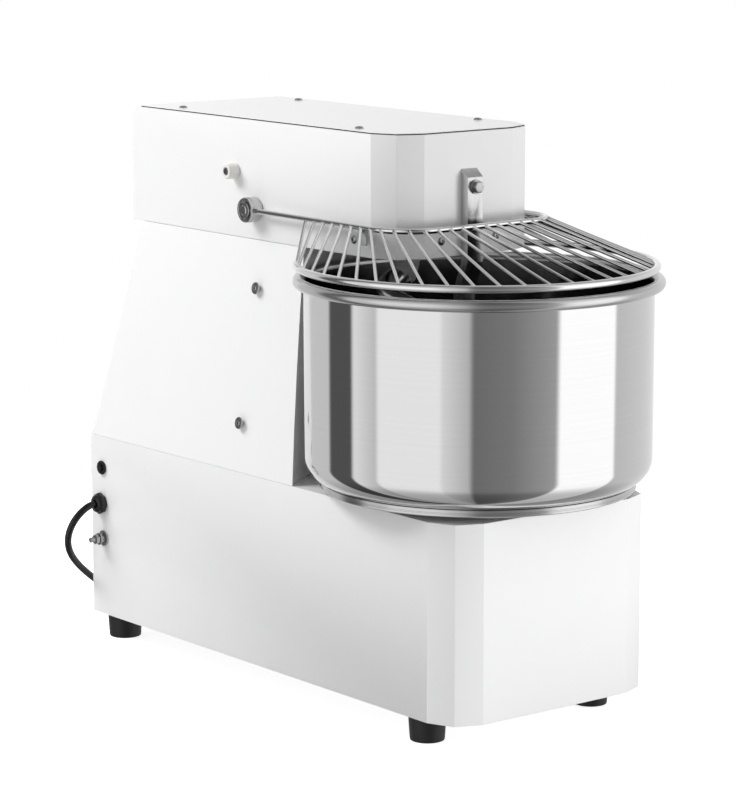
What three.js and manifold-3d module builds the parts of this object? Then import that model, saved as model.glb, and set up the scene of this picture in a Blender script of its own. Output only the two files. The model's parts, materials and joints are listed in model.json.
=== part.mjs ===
// A fixed-head spiral dough kneader of about 20 litres: a sheet-metal base on four rubber feet, a tapered
// column, a box head, a stainless bowl that turns on the base, a spiral hook and a breaker bar that hang
// from the head, and a wire guard that hinges up over the head.
//
// Millimetres, +Z up, -Y to the front. Inside the machine group the bowl's axis is X = 0, Y = 0 and the
// floor is Z = 0. The group is then set back so that the whole machine stands centred on the origin.

import * as THREE from 'three';
import { mergeVertices } from 'three/addons/utils/BufferGeometryUtils.js';
import Module from 'manifold-3d';

const wasm = await Module();
wasm.setup();

// ---- Driving dimensions ----

const SET_BACK = -164.5; // from the bowl's axis to the middle of the machine's length
const SHEET = 2; // steel sheet of the housing
const GAP = 0.3; // left between neighbouring pieces
const FOOT_HEIGHT = 28;

const BASE = { half: 138, front: -126.5, back: 521.5, corner: 40, bottom: 28, top: 235.5 };
const HEAD = { half: 98, front: 17, back: 488, corner: 39, bottom: 482.5, top: 610.5, round: 17.2 };
const LID = { back: 472, thick: 1.5 };
const COLUMN = { footBack: 521.2, bendZ: 242.5, bendBack: 515.6, topBack: 467, frontRadius: 195.5 };
const LEAN = (BASE.half - HEAD.half) / (HEAD.bottom - BASE.top); // inward slope of the column's sides

const BOWL = { outer: 181.3, wall: 1.5, bottom: 247.8, fillet: 28, rimRadius: 186.3, rimZ: 458, rimTube: 6.2 };
const TURNTABLE = { radius: 165, bottom: 242.2, lip: 1.5, top: 249.6 }; // a shallow dish that holds the bowl

const SPIRAL_Y = 120; // the spiral's axis behind the bowl's axis
const SPIRAL = { shaft: 12.5, bar: 12, sweep: 43, footSweep: 36, top: 452, foot: 273, turns: 1.33, start: 153 };
const SPIRAL_HUB = { radius: 17.5, top: 480.2 }; // the cone that joins the hook to its shaft
const BREAKER = { half: 10.5, thick: 11, joggle: 12, bend: [475, 445], tip: 262, top: 572.5 };

const GUARD = { ringRadius: 186, ringY: 4, ringZ: 474, ringRod: 4, ringReach: 129 };
const UPPER_WIRE = { z: 515, half: 108, front: -8.5, corner: 45, rod: 3, spokeReach: 153 };
const SPOKE = { count: 33, rod: 1.75 };
const PIVOT = { y: 254.6, z: 515, hub: 13.5, pin: 5 };
const GUARD_STOP = { y: 291, z: 553.5 };
const COLUMN_SCREWS = [[239, 431.5], [239, 287.5]];
const LID_SCREWS = [[-80, 98], [80, 98], [-80, 414], [80, 414]];
const BOLT_Z = 554; // the breaker bar's bolt
const BUTTON_Z = 552;

const LAYSHAFT_Y = 290;
const CHAIN = { pitch: 12.7, lowZ: 190, highZ: 566, toothHalf: 4 };
const TEETH = { bowl: 50, layshaftLow: 10, layshaftHigh: 18, spiral: 12 };
const MOTOR_Y = 410;

const CORD_RADIUS = 4;
const COIL = { x: 10, y: 595, inner: 35.7, outer: 52.3, top: 24.5 };
const GLAND = { y: 501.4, z: 157.6 };
const RESET = { y: 498.7, z: 199.4 };
const BOND = { y: 497.3, z: 117.3 };
// The cord's line from the gland, down behind the base and to the coil on the floor.
const CORD_ROUTE = [
  [-148.3, 501.4, 157.6],
  [-153, 501.5, 157],
  [-158.5, 501.8, 155],
  [-168.5, 503.2, 147.6],
  [-175.8, 506, 136.8],
  [-178.4, 510, 124.5],
  [-176.9, 514, 113],
  [-170.4, 519, 99.6],
  [-158.4, 525, 86.7],
  [-143.5, 532, 74.1],
  [-125.5, 541, 61.3],
  [-107, 548, 48],
  [-89, 551.5, 34],
  [-73, 552, 21.5],
  [-58, 550.5, 11.5],
  [-44, 548.3, 6],
  [-32, 547.2, 4.4],
  [-21, 547, 4.3],
];

// ---- Materials ----

function finish(colour, roughness, metalness) {
  return new THREE.MeshStandardMaterial({ color: colour, roughness, metalness });
}

const white = finish(0xe9e9e6, 0.4, 0);
const stainless = finish(0xc9cbcc, 0.22, 1);
const zinc = finish(0xb4b6b8, 0.35, 1);
const casting = finish(0x8d9092, 0.55, 0.6);
const rubber = finish(0x1b1b1c, 0.75, 0);
const blackPlastic = finish(0x202124, 0.45, 0);
const nylon = finish(0xe4e3de, 0.5, 0);
const greyPlastic = finish(0x9a9d9f, 0.5, 0);
const green = finish(0x1e8a45, 0.4, 0);
const red = finish(0xb3211e, 0.4, 0);

const BUTTONS = [
  { name: 'start_button', y: 365, material: green },
  { name: 'stop_button', y: 395, material: red },
];

// ---- Solids: closed geometries, joined and cut ----

const UP_X = new THREE.Matrix4().makeBasis(
  new THREE.Vector3(0, 1, 0),
  new THREE.Vector3(0, 0, 1),
  new THREE.Vector3(1, 0, 0),
);

// Keeps only positions, shares the vertices and drops triangles that have no area.
function shared(geometry) {
  const plain = geometry.clone();
  plain.deleteAttribute('normal');
  plain.deleteAttribute('uv');
  const merged = mergeVertices(plain, 1e-3);
  const corners = [];
  for (let i = 0; i < merged.index.count; i += 3) {
    const [a, b, c] = [0, 1, 2].map((k) => merged.index.getX(i + k));
    if (a !== b && b !== c && c !== a) corners.push(a, b, c);
  }
  merged.setIndex(corners);
  return merged;
}

function signedVolume(geometry) {
  const { position } = geometry.attributes;
  const at = (i) => new THREE.Vector3().fromBufferAttribute(position, geometry.index.getX(i));
  let sum = 0;
  for (let i = 0; i < geometry.index.count; i += 3) {
    sum += at(i).dot(at(i + 1).cross(at(i + 2)));
  }
  return sum / 6;
}

// Turns the faces of a closed geometry outward.
function outward(geometry) {
  const result = shared(geometry);
  if (signedVolume(result) < 0) {
    result.setIndex([...result.index.array].reverse());
  }
  return result;
}

function toManifold(geometry) {
  const mesh = outward(geometry);
  return new wasm.Manifold(new wasm.Mesh({
    numProp: 3,
    vertProperties: new Float32Array(mesh.attributes.position.array),
    triVerts: new Uint32Array(mesh.index.array),
  }));
}

function toGeometry(manifold) {
  const mesh = manifold.getMesh();
  const geometry = new THREE.BufferGeometry();
  geometry.setAttribute('position', new THREE.BufferAttribute(mesh.vertProperties, 3));
  geometry.setIndex(new THREE.BufferAttribute(mesh.triVerts, 1));
  geometry.computeVertexNormals();
  return geometry;
}

function join(...pieces) {
  return toGeometry(pieces.map(toManifold).reduce((sum, piece) => sum.add(piece)));
}

function cut(body, ...tools) {
  return toGeometry([body, ...tools].map(toManifold).reduce((left, tool) => left.subtract(tool)));
}

function common(a, b) {
  return toGeometry(toManifold(a).intersect(toManifold(b)));
}

// ---- Shapes ----

// An outline in X and Y, raised from one height to another.
function prism(outline, from, to) {
  const shape = new THREE.Shape(outline.map(([x, y]) => new THREE.Vector2(x, y)));
  const geometry = new THREE.ExtrudeGeometry(shape, { depth: to - from, bevelEnabled: false });
  return geometry.translate(0, 0, from);
}

// An outline in Y and Z, drawn out along X.
function slab(outline, from, to) {
  return prism(outline, from, to).applyMatrix4(UP_X);
}

function block([x0, y0, z0], [x1, y1, z1]) {
  const box = new THREE.BoxGeometry(x1 - x0, y1 - y0, z1 - z0);
  return box.translate((x0 + x1) / 2, (y0 + y1) / 2, (z0 + z1) / 2);
}

// A round bar from one point to another, optionally tapered.
function bar(radius, from, to, sides = 16, endRadius = radius) {
  const start = new THREE.Vector3(...from);
  const end = new THREE.Vector3(...to);
  const along = end.clone().sub(start);
  const geometry = new THREE.CylinderGeometry(endRadius, radius, along.length(), sides);
  const up = new THREE.Vector3(0, 1, 0);
  geometry.applyQuaternion(new THREE.Quaternion().setFromUnitVectors(up, along.normalize()));
  return geometry.translate(...start.add(end).multiplyScalar(0.5).toArray());
}

// A profile of [radius, height] turned about the Z axis. It closes on itself unless it ends on the axis.
function turned(profile, segments = 20) {
  const points = profile.map(([radius, z]) => new THREE.Vector2(radius, z));
  const onAxis = profile[0][0] === 0 && profile.at(-1)[0] === 0;
  if (!onAxis) points.push(points[0].clone());
  return outward(new THREE.LatheGeometry(points, segments).rotateX(Math.PI / 2));
}

// The same about the X axis: heights run along +X, or along -X where side is -1.
function turnedX(profile, side, segments = 20) {
  return turned(profile, segments).rotateY(side * Math.PI / 2);
}

// A round rod that follows points.
function rod(points, radius, sides, steps) {
  const section = new THREE.Shape();
  for (let i = 0; i < sides; i += 1) {
    const angle = 2 * Math.PI * i / sides;
    const corner = [radius * Math.cos(angle), radius * Math.sin(angle)];
    if (i === 0) section.moveTo(...corner);
    else section.lineTo(...corner);
  }
  const path = new THREE.CatmullRomCurve3(points.map((point) => new THREE.Vector3(...point)));
  return outward(new THREE.ExtrudeGeometry(section, { steps, extrudePath: path }));
}

// A solid through level sections that have the same number of corners.
function loft(sections) {
  const size = sections[0].length;
  const triangles = [];
  for (let level = 1; level < sections.length; level += 1) {
    for (let i = 0; i < size; i += 1) {
      const low = (level - 1) * size;
      const next = (i + 1) % size;
      triangles.push(low + i, low + next, low + size + next);
      triangles.push(low + i, low + size + next, low + size + i);
    }
  }
  const last = (sections.length - 1) * size;
  for (let i = 2; i < size; i += 1) {
    triangles.push(0, i, i - 1);
    triangles.push(last, last + i - 1, last + i);
  }
  const geometry = new THREE.BufferGeometry();
  geometry.setAttribute('position', new THREE.Float32BufferAttribute(sections.flat(2), 3));
  geometry.setIndex(triangles);
  return outward(geometry);
}

// Points on a circle arc in the plane of the outline, angles in degrees.
function arc(cx, cy, radius, from, to, steps) {
  const points = [];
  for (let i = 0; i <= steps; i += 1) {
    const angle = THREE.MathUtils.degToRad(from + (to - from) * i / steps);
    points.push([cx + radius * Math.cos(angle), cy + radius * Math.sin(angle)]);
  }
  return points;
}

// The plan of a sheet-metal box: square at the back, each front corner bent in two flats.
function boxPlan({ half, front, back, corner }, inset) {
  const w = half - inset;
  const f = front + inset;
  const b = back - inset;
  const c = corner - inset;
  const m = c * (1 - Math.SQRT1_2);
  return [[-w, b], [-w, f + c], [-w + m, f + m], [-w + c, f], [w - c, f], [w - m, f + m], [w, f + c], [w, b]];
}

// ---- The scene graph ----

const group = new THREE.Group();
const machine = new THREE.Group();
machine.position.y = SET_BACK;
group.add(machine);

function place(parent, name, geometry, material, at = [0, 0, 0]) {
  const mesh = new THREE.Mesh(geometry, material);
  mesh.name = name;
  mesh.position.set(...at);
  parent.add(mesh);
  return mesh;
}

// ---- Base ----

function baseShell() {
  const outside = prism(boxPlan(BASE, 0), BASE.bottom, BASE.top);
  const inside = prism(boxPlan(BASE, SHEET), BASE.bottom - 1, BASE.top - SHEET);
  const bowlHole = bar(24, [0, 0, 220], [0, 0, 240], 32);
  const gearboxOpening = block([-64, 262, 230], [64, 466, 240]);
  const rearOpening = block([-85, 515, 60], [85, 525, 200]);
  const sideHole = (radius, y, z) => bar(radius, [-145, y, z], [-130, y, z]);
  return cut(
    outside,
    inside,
    bowlHole,
    gearboxOpening,
    rearOpening,
    sideHole(8, GLAND.y, GLAND.z),
    sideHole(6.3, RESET.y, RESET.z),
    sideHole(3.4, BOND.y, BOND.z),
  );
}

function baseBottomPlate() {
  const plate = prism(boxPlan(BASE, SHEET + GAP), BASE.bottom, BASE.bottom + SHEET);
  const vents = [-40, -20, 0, 20, 40].map((x) => block([x - 3, 370, 20], [x + 3, 450, 40]));
  return cut(plate, ...vents);
}

function rearCover() {
  const back = BASE.back - SHEET - GAP;
  const plate = block([-92, back - 1.5, 53], [92, back, 207]);
  const louvres = [80, 98, 116, 134, 152, 170].map((z) => block([-60, back - 5, z], [60, back + 5, z + 5]));
  return cut(plate, ...louvres);
}

function foot() {
  const top = FOOT_HEIGHT - GAP;
  return turned([[0, 14], [7, 14], [7, 0], [17, 0], [18, 1.5], [20, top], [0, top]]);
}

function cableGland() {
  const nut = bar(12.5, [-144, 0, 0], [-138 - GAP, 0, 0], 6);
  const dome = bar(11.5, [-144, 0, 0], [-148, 0, 0], 16, 7.5);
  const thread = bar(7.6, [-139, 0, 0], [-126, 0, 0]);
  const bore = bar(CORD_RADIUS + 0.4, [-150, 0, 0], [-120, 0, 0]);
  return cut(join(nut, dome, thread), bore);
}

function bondingTerminal() {
  const stud = bar(3, [-158, 0, 0], [-130, 0, 0], 16);
  const washer = bar(9, [-139.8, 0, 0], [-138 - GAP, 0, 0]);
  const innerNut = bar(5.8, [-144.8, 0, 0], [-139.8, 0, 0], 6);
  const tagWasher = bar(7, [-146.2, 0, 0], [-144.8, 0, 0]);
  const outerNut = bar(5.8, [-151, 0, 0], [-146.2, 0, 0], 6);
  return join(stud, washer, innerNut, tagWasher, outerNut);
}

function resetBezel() {
  return turnedX([[4.4, 128], [6, 128], [6, 138 + GAP], [8, 138 + GAP], [8, 140], [7, 141], [4.4, 141]], -1);
}

// ---- Column ----

// The column's plan at one height, pulled in on its sides and back.
function columnSection(z, back, inset) {
  const half = BASE.half - LEAN * (z - BASE.top) - inset;
  return [[-half, 100, z], [half, 100, z], [half, back - inset, z], [-half, back - inset, z]];
}

function columnSolid(inset, spare) {
  return loft([
    columnSection(BASE.top + GAP - spare, COLUMN.footBack, inset),
    columnSection(COLUMN.bendZ, COLUMN.bendBack, inset),
    columnSection(HEAD.bottom - GAP + spare, COLUMN.topBack, inset),
  ]);
}

function columnShell() {
  const bowlRoom = bar(COLUMN.frontRadius, [0, 0, 200], [0, 0, 500], 96);
  const front = block([-200, 90, 200], [200, 101, 500]);
  const holes = COLUMN_SCREWS.map(([y, z]) => bar(3.4, [-160, y, z], [160, y, z], 12));
  return cut(columnSolid(0, 0), columnSolid(SHEET, 5), bowlRoom, front, ...holes);
}

function columnFrontWall() {
  const { frontRadius } = COLUMN;
  const low = BASE.top + GAP;
  const high = HEAD.bottom - GAP;
  const outer = frontRadius + 1.5;
  const wall = turned([[frontRadius, low], [outer, low], [outer, high], [frontRadius, high]], 96);
  return common(wall, columnSolid(SHEET + GAP, 5));
}

// A domed screw on a washer, standing on the column's leaning side.
function columnScrew() {
  const washer = bar(6.5, [0, 0, GAP], [0, 0, 1.5]);
  const head = bar(5, [0, 0, 1.5], [0, 0, 4.5], 16, 3.5);
  const shank = bar(3, [0, 0, -12], [0, 0, 1], 16);
  const socket = bar(1.8, [0, 0, 3], [0, 0, 6], 6);
  return cut(join(washer, head, shank), socket);
}

// ---- Head ----

// The head's side view, rounded down at the top of its back.
function headProfile(inset) {
  const { front, back, bottom, top, round } = HEAD;
  const shoulder = arc(back - round, top - round, round - inset, 0, 90, 5);
  const low = bottom - inset;
  return [[front + inset, low], [back - inset, low], ...shoulder, [front + inset, top - inset]];
}

function headShell() {
  const plan = prism(boxPlan(HEAD, 0), HEAD.bottom, HEAD.top - GAP);
  const room = prism(boxPlan(HEAD, SHEET), HEAD.bottom - 1, HEAD.top);
  const outside = common(plan, slab(headProfile(0), -120, 120));
  const inside = common(room, slab(headProfile(SHEET), -120, 120));
  const lidOpening = prism(boxPlan({ ...HEAD, back: 470 }, 8), HEAD.top - 10, HEAD.top + 5);
  const lidScrewHoles = LID_SCREWS.map(([x, y]) => bar(2.4, [x, y, 600], [x, y, 620], 12));
  return cut(
    outside,
    inside,
    lidOpening,
    ...lidScrewHoles,
    bar(6.3, [-110, PIVOT.y, PIVOT.z], [110, PIVOT.y, PIVOT.z]),
    bar(3.3, [-110, GUARD_STOP.y, GUARD_STOP.z], [-80, GUARD_STOP.y, GUARD_STOP.z], 16),
    bar(4.3, [0, 0, BOLT_Z], [0, 30, BOLT_Z], 16),
    ...BUTTONS.map(({ y }) => bar(11.3, [80, y, BUTTON_Z], [110, y, BUTTON_Z])),
  );
}

function headFloor() {
  const plate = prism(boxPlan(HEAD, SHEET + GAP), HEAD.bottom, HEAD.bottom + SHEET);
  const bearingHole = bar(30.4, [0, SPIRAL_Y, 470], [0, SPIRAL_Y, 490], 32);
  const columnOpening = block([-70, 230, 470], [70, 450, 490]);
  return cut(plate, bearingHole, columnOpening);
}

function headLid() {
  const plan = { ...HEAD, back: LID.back };
  const sheet = prism(boxPlan(plan, 1), HEAD.top, HEAD.top + LID.thick);
  const lipPlan = prism(boxPlan(plan, 10), HEAD.top - 5, HEAD.top + 0.5);
  const lip = cut(lipPlan, prism(boxPlan(plan, 11.5), 600, 620));
  const holes = LID_SCREWS.map(([x, y]) => bar(2.4, [x, y, 600], [x, y, 620], 12));
  return cut(join(sheet, lip), ...holes);
}

function lidScrew() {
  const seat = HEAD.top + LID.thick + GAP;
  const low = seat - 9;
  const high = seat + 2;
  const screw = turned([[0, low], [2, low], [2, seat], [4.5, seat], [4.2, seat + 1.2], [2.5, high], [0, high]], 12);
  return cut(screw, bar(1.4, [0, 0, seat + 0.9], [0, 0, seat + 3], 6));
}

// ---- Breaker bar ----

function breakerBar() {
  const front = HEAD.front - BREAKER.thick;
  const [high, low] = BREAKER.bend;
  const back = HEAD.front - GAP;
  const set = BREAKER.joggle;
  const outline = [
    [front, BREAKER.top - 8.5],
    [front, high],
    [front + set, low],
    [front + set, BREAKER.tip + 6],
    [front + set + 3, BREAKER.tip],
    [back + set, BREAKER.tip],
    [back + set, low],
    [back, high],
    [back, BREAKER.top],
  ];
  return cut(slab(outline, -BREAKER.half, BREAKER.half), bar(4.3, [0, 0, BOLT_Z], [0, 40, BOLT_Z], 16));
}

function breakerBolt() {
  const front = HEAD.front - BREAKER.thick;
  const washer = bar(7.5, [0, front - 1.9, 0], [0, front - GAP, 0]);
  const head = bar(7.4, [0, front - 7, 0], [0, front - 1.9, 0], 6);
  const shank = bar(4, [0, front - 1, 0], [0, 28, 0], 16);
  const nut = bar(7.4, [0, HEAD.front + SHEET + GAP, 0], [0, 26, 0], 6);
  return join(washer, head, shank, nut);
}

// ---- Bowl and its drive ----

function bowl() {
  const { outer, wall, bottom, fillet, rimRadius, rimZ, rimTube } = BOWL;
  const inner = outer - wall;
  const bendR = outer - fillet;
  const bendZ = bottom + fillet;
  const rimStart = THREE.MathUtils.radToDeg(Math.acos((outer - rimRadius) / rimTube));
  const outside = arc(bendR, bendZ, fillet, -90, 0, 5);
  const rim = arc(rimRadius, rimZ, rimTube, -rimStart, 175, 9);
  const inside = arc(bendR, bendZ, fillet - wall, 0, -90, 5);
  return turned([[0, bottom], ...outside, ...rim, [inner, rimZ - 2], ...inside, [0, bottom + wall]], 48);
}

function turntable() {
  const { radius, bottom, lip, top } = TURNTABLE;
  const floor = BOWL.bottom - GAP;
  return turned([
    [0, bottom],
    [40, bottom],
    [40, bottom + 1],
    [150, bottom + 1],
    [150, bottom],
    [radius, bottom],
    [radius, top],
    [radius - lip, top],
    [radius - lip, floor],
    [0, floor],
  ], 48);
}

function bowlBearing() {
  const top = BASE.top - SHEET - GAP;
  const neck = [[60, top], [23.7, top], [23.7, 239], [15.3, 239]];
  return turned([[15.3, 199], [34, 199], [36, 222], [60, 224], ...neck]);
}

function pitchRadius(teeth) {
  return CHAIN.pitch / (2 * Math.sin(Math.PI / teeth));
}

// A chain wheel with a hub on one side, centred on height 0.
function sprocket(teeth, bore, hub, hubTo) {
  const pitch = pitchRadius(teeth);
  const step = 2 * Math.PI / teeth;
  const outline = [];
  for (let i = 0; i < teeth; i += 1) {
    for (const [share, radius] of [[-0.3, pitch - 3.5], [0, pitch + 3], [0.3, pitch - 3.5]]) {
      const angle = (i + share) * step;
      outline.push([radius * Math.cos(angle), radius * Math.sin(angle)]);
    }
  }
  const wheel = prism(outline, -CHAIN.toothHalf, CHAIN.toothHalf);
  const boss = bar(hub, [0, 0, 0], [0, 0, hubTo]);
  return cut(join(wheel, boss), bar(bore, [0, 0, -50], [0, 0, 50]));
}

// The line of a chain round a front and a rear wheel, moved outward by an offset.
function chainLine(frontY, frontRadius, rearY, rearRadius, offset) {
  const spread = THREE.MathUtils.radToDeg(Math.acos((frontRadius - rearRadius) / (rearY - frontY)));
  return [
    ...arc(0, frontY, frontRadius + offset, 90 + spread, 450 - spread, 20),
    ...arc(0, rearY, rearRadius + offset, 90 - spread, 90 + spread, 12),
  ];
}

// A chain as one closed loop: side plates on both sides of the teeth and a back outside the tips.
function chain(frontY, frontTeeth, rearY, rearTeeth) {
  const line = (offset) => chainLine(frontY, pitchRadius(frontTeeth), rearY, pitchRadius(rearTeeth), offset);
  const groove = CHAIN.toothHalf + 0.4;
  return cut(prism(line(7), -7.5, 7.5), prism(line(-6), -8, 8), prism(line(4.2), -groove, groove));
}

// ---- Gearmotor and layshaft ----

function gearbox() {
  const flange = block([-75, 245, BASE.top + GAP], [75, 480, 243.8]);
  const front = [[-60, 275], [-45, 262], [45, 262], [60, 275]];
  const back = [[60, 453], [45, 466], [-45, 466], [-60, 453]];
  const housing = prism([...front, ...back], 243, 300);
  const spigot = bar(50, [0, MOTOR_Y, 226], [0, MOTOR_Y, 240], 24);
  const bore = bar(10.4, [0, LAYSHAFT_Y, 200], [0, LAYSHAFT_Y, 320]);
  return cut(join(flange, housing, spigot), bore);
}

function motorBody() {
  const fins = 16;
  const outline = [];
  for (let i = 0; i < fins; i += 1) {
    for (const [share, radius] of [[0, 60], [0.3, 60], [0.35, 54], [0.95, 54]]) {
      const angle = 2 * Math.PI * (i + share) / fins;
      outline.push([radius * Math.cos(angle), radius * Math.sin(angle)]);
    }
  }
  const flange = bar(60, [0, 0, 215], [0, 0, 225.7], 24);
  return join(prism(outline, 75, 216), flange);
}

function motorFanCover() {
  const rim = 75 - GAP;
  return turned([[0, 48], [56, 48], [60, 52], [60, rim], [58, rim], [58, 53], [55, 50], [0, 50]], 24);
}

// ---- Spiral ----

function spiralBearing() {
  const floorTop = HEAD.bottom + SHEET + GAP;
  const flange = [[30, floorTop], [46, floorTop], [46, 494], [32, 500]];
  return turned([[12.8, 481], [30, 481], ...flange, [28, 546], [12.8, 546]]);
}

// The hook's centre line: out of the shaft and down round the axis in a slowly narrowing helix.
function hookLine() {
  const points = [];
  const steps = 30;
  for (let i = 0; i <= steps; i += 1) {
    const share = i / steps;
    const turn = 360 * SPIRAL.turns * share;
    const angle = THREE.MathUtils.degToRad(SPIRAL.start + turn);
    const reach = SPIRAL.sweep + (SPIRAL.footSweep - SPIRAL.sweep) * share;
    const radius = reach * Math.sin(THREE.MathUtils.degToRad(90 * Math.min(1, turn / 75)));
    const z = SPIRAL.top + (SPIRAL.foot - SPIRAL.top) * share;
    points.push([radius * Math.cos(angle), radius * Math.sin(angle), z]);
  }
  return points;
}

function spiralHook() {
  const line = hookLine();
  const ball = ([x, y, z]) => new THREE.SphereGeometry(SPIRAL.bar, 12, 8).translate(x, y, z);
  const { radius, top } = SPIRAL_HUB;
  const foot = [[0, SPIRAL.top], [SPIRAL.bar, SPIRAL.top]];
  const hub = turned([...foot, [radius, top - 4], [radius, top], [0, top]], 32);
  return join(hub, rod(line, SPIRAL.bar, 12, 34), ball(line[0]), ball(line.at(-1)));
}

// ---- Guard ----

// The point of the upper wire at a distance along it from the middle of its front run.
function upperWirePoint(distance) {
  const { z, half, front, corner } = UPPER_WIRE;
  const side = Math.sign(distance);
  const along = Math.abs(distance);
  const straight = half - corner;
  const bend = corner * Math.PI / 2;
  if (along <= straight) return [side * along, front, z];
  if (along <= straight + bend) {
    const angle = (along - straight) / corner;
    return [side * (straight + corner * Math.sin(angle)), front + corner * (1 - Math.cos(angle)), z];
  }
  return [side * half, front + corner + along - straight - bend, z];
}

function ringPoint(degrees) {
  const angle = THREE.MathUtils.degToRad(degrees);
  return [GUARD.ringRadius * Math.sin(angle), GUARD.ringY - GUARD.ringRadius * Math.cos(angle), GUARD.ringZ];
}

function upperWireLength(y) {
  const { half, front, corner } = UPPER_WIRE;
  return half - corner + corner * Math.PI / 2 + y - front - corner;
}

function guardFrame() {
  const ring = [];
  for (let i = -24; i <= 24; i += 1) {
    ring.push(ringPoint(GUARD.ringReach * i / 24));
  }
  const wire = [];
  const reach = upperWireLength(PIVOT.y - PIVOT.hub - GAP);
  for (let i = -24; i <= 24; i += 1) {
    wire.push(upperWirePoint(reach * i / 24));
  }
  const spokes = [];
  const middle = (SPOKE.count - 1) / 2;
  const spokeReach = upperWireLength(UPPER_WIRE.spokeReach);
  for (let i = -middle; i <= middle; i += 1) {
    const foot = ringPoint((GUARD.ringReach - 0.8) * i / middle);
    spokes.push(bar(SPOKE.rod, foot, upperWirePoint(spokeReach * i / middle), 5));
  }
  return join(rod(ring, GUARD.ringRod, 8, 40), rod(wire, UPPER_WIRE.rod, 8, 44), ...spokes);
}

function guardTab() {
  const top = UPPER_WIRE.z - UPPER_WIRE.rod - GAP;
  const outline = [[49, top], ...arc(52, 500, 3, 180, 270, 3), ...arc(61, 500, 3, 270, 360, 3), [64, top]];
  return slab(outline, -109.5, -106.5);
}

function guardHub(side) {
  const { hub, pin } = PIVOT;
  const inner = HEAD.half + 2 * GAP;
  return turnedX([
    [pin + GAP, inner],
    [hub, inner],
    [hub, 109],
    [hub - 1, 110],
    [hub - 1, 111],
    [hub, 112],
    [hub, 113],
    [hub - 1, 113.5],
    [pin + GAP, 113.5],
  ], side, 24);
}

function pivotPin(side, withCam) {
  const head = [[9.5, 113.9], [9.5, 114.6], [8.5, 115.4], [0, 115.4]];
  const shaft = turnedX([[0, 72], [PIVOT.pin, 72], [PIVOT.pin, 113.9], ...head], side);
  const slot = block([side > 0 ? 114.4 : -116, -1, -10], [side > 0 ? 116 : -114.4, 1, 10]);
  if (!withCam) return cut(shaft, slot);
  const disc = bar(14, [side * 80, 0, 0], [side * 86, 0, 0]);
  const flat = block([-90, -20, 9], [90, 20, 20]);
  return cut(join(shaft, cut(disc, flat)), slot);
}

function guardSwitch() {
  const body = block([-94, 272, 498], [-74, 292, 530]);
  const plunger = bar(2, [-83, PIVOT.y + 14.6, PIVOT.z], [-83, 273, PIVOT.z], 12);
  return join(body, plunger);
}

function guardStop() {
  return turnedX([[3.3, 98 + GAP], [8.5, 98 + GAP], [8.5, 108], [7.5, 111.3], [3.3, 111.3]], -1);
}

function guardStopScrew() {
  const screw = turnedX([[0, 88], [3, 88], [3, 111.6], [5.5, 111.6], [5.5, 113], [4, 114.2], [0, 114.2]], -1);
  return cut(screw, bar(1.6, [-112.6, 0, 0], [-116, 0, 0], 6));
}

// ---- Controls ----

function controlPlate() {
  const [low, high] = [BUTTON_Z - 28, BUTTON_Z + 28];
  const plate = slab([[345, low], [415, low], [415, high], [345, high]], HEAD.half + GAP, HEAD.half + 2.3);
  return cut(plate, ...BUTTONS.map(({ y }) => bar(11.3, [90, y, BUTTON_Z], [110, y, BUTTON_Z])));
}

function pushButton() {
  return turnedX([[0, 90], [10.8, 90], [10.8, 105.5], [9.5, 107], [0, 107]], 1);
}

function resetButton() {
  return turnedX([[0, 130], [4, 130], [4, 142.3], [3.3, 143], [0, 143]], -1);
}

// ---- Mains cord ----

function cordCoil() {
  return turned([[COIL.inner, GAP], [COIL.outer, GAP], [COIL.outer, COIL.top], [COIL.inner, COIL.top]], 32);
}

function mainsPlug() {
  const boot = bar(5.2, [42.3, 0, 0], [72, 0, 0], 20, 8.5);
  const grip = bar(15, [70, 0, 0], [78, 0, 0], 28, 19);
  const face = bar(19, [78, 0, 0], [105, 0, 0], 28);
  const pins = [-9.5, 9.5].map((y) => bar(2.4, [104, y, 0], [124, y, 0], 12));
  return join(boot, grip, face, ...pins);
}

// ---- Assembly ----

place(machine, 'base_shell', baseShell(), white);
place(machine, 'base_bottom_plate', baseBottomPlate(), zinc);
place(machine, 'rear_cover', rearCover(), white);
for (const [name, x, y] of [['fl', -112, -55], ['fr', 112, -55], ['rl', -112, 495], ['rr', 112, 495]]) {
  place(machine, `foot_${name}`, foot(), rubber, [x, y, 0]);
}
place(machine, 'cable_gland', cableGland(), blackPlastic, [0, GLAND.y, GLAND.z]);
place(machine, 'bonding_terminal', bondingTerminal(), zinc, [0, BOND.y, BOND.z]);
place(machine, 'reset_bezel', resetBezel(), blackPlastic, [0, RESET.y, RESET.z]);
place(machine, 'reset_button', resetButton(), blackPlastic, [0, RESET.y, RESET.z]);

place(machine, 'column_shell', columnShell(), white);
place(machine, 'column_front_wall', columnFrontWall(), white);
for (const side of [-1, 1]) {
  COLUMN_SCREWS.forEach(([y, z], i) => {
    const half = BASE.half - LEAN * (z - BASE.top);
    const name = `column_screw_${side < 0 ? 'l' : 'r'}${i + 1}`;
    const screw = place(machine, name, columnScrew(), zinc, [side * half, y, z]);
    screw.rotation.y = side * (Math.PI / 2 - Math.atan(LEAN));
  });
}

place(machine, 'head_shell', headShell(), white);
place(machine, 'head_floor', headFloor(), white);
place(machine, 'head_lid', headLid(), white);
LID_SCREWS.forEach(([x, y], i) => place(machine, `lid_screw_${i + 1}`, lidScrew(), zinc, [x, y, 0]));
place(machine, 'breaker_bar', breakerBar(), stainless);
place(machine, 'breaker_bolt', breakerBolt(), zinc, [0, 0, BOLT_Z]);
place(machine, 'control_plate', controlPlate(), greyPlastic);
for (const { name, y, material } of BUTTONS) {
  place(machine, name, pushButton(), material, [0, y, BUTTON_Z]);
}

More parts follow.
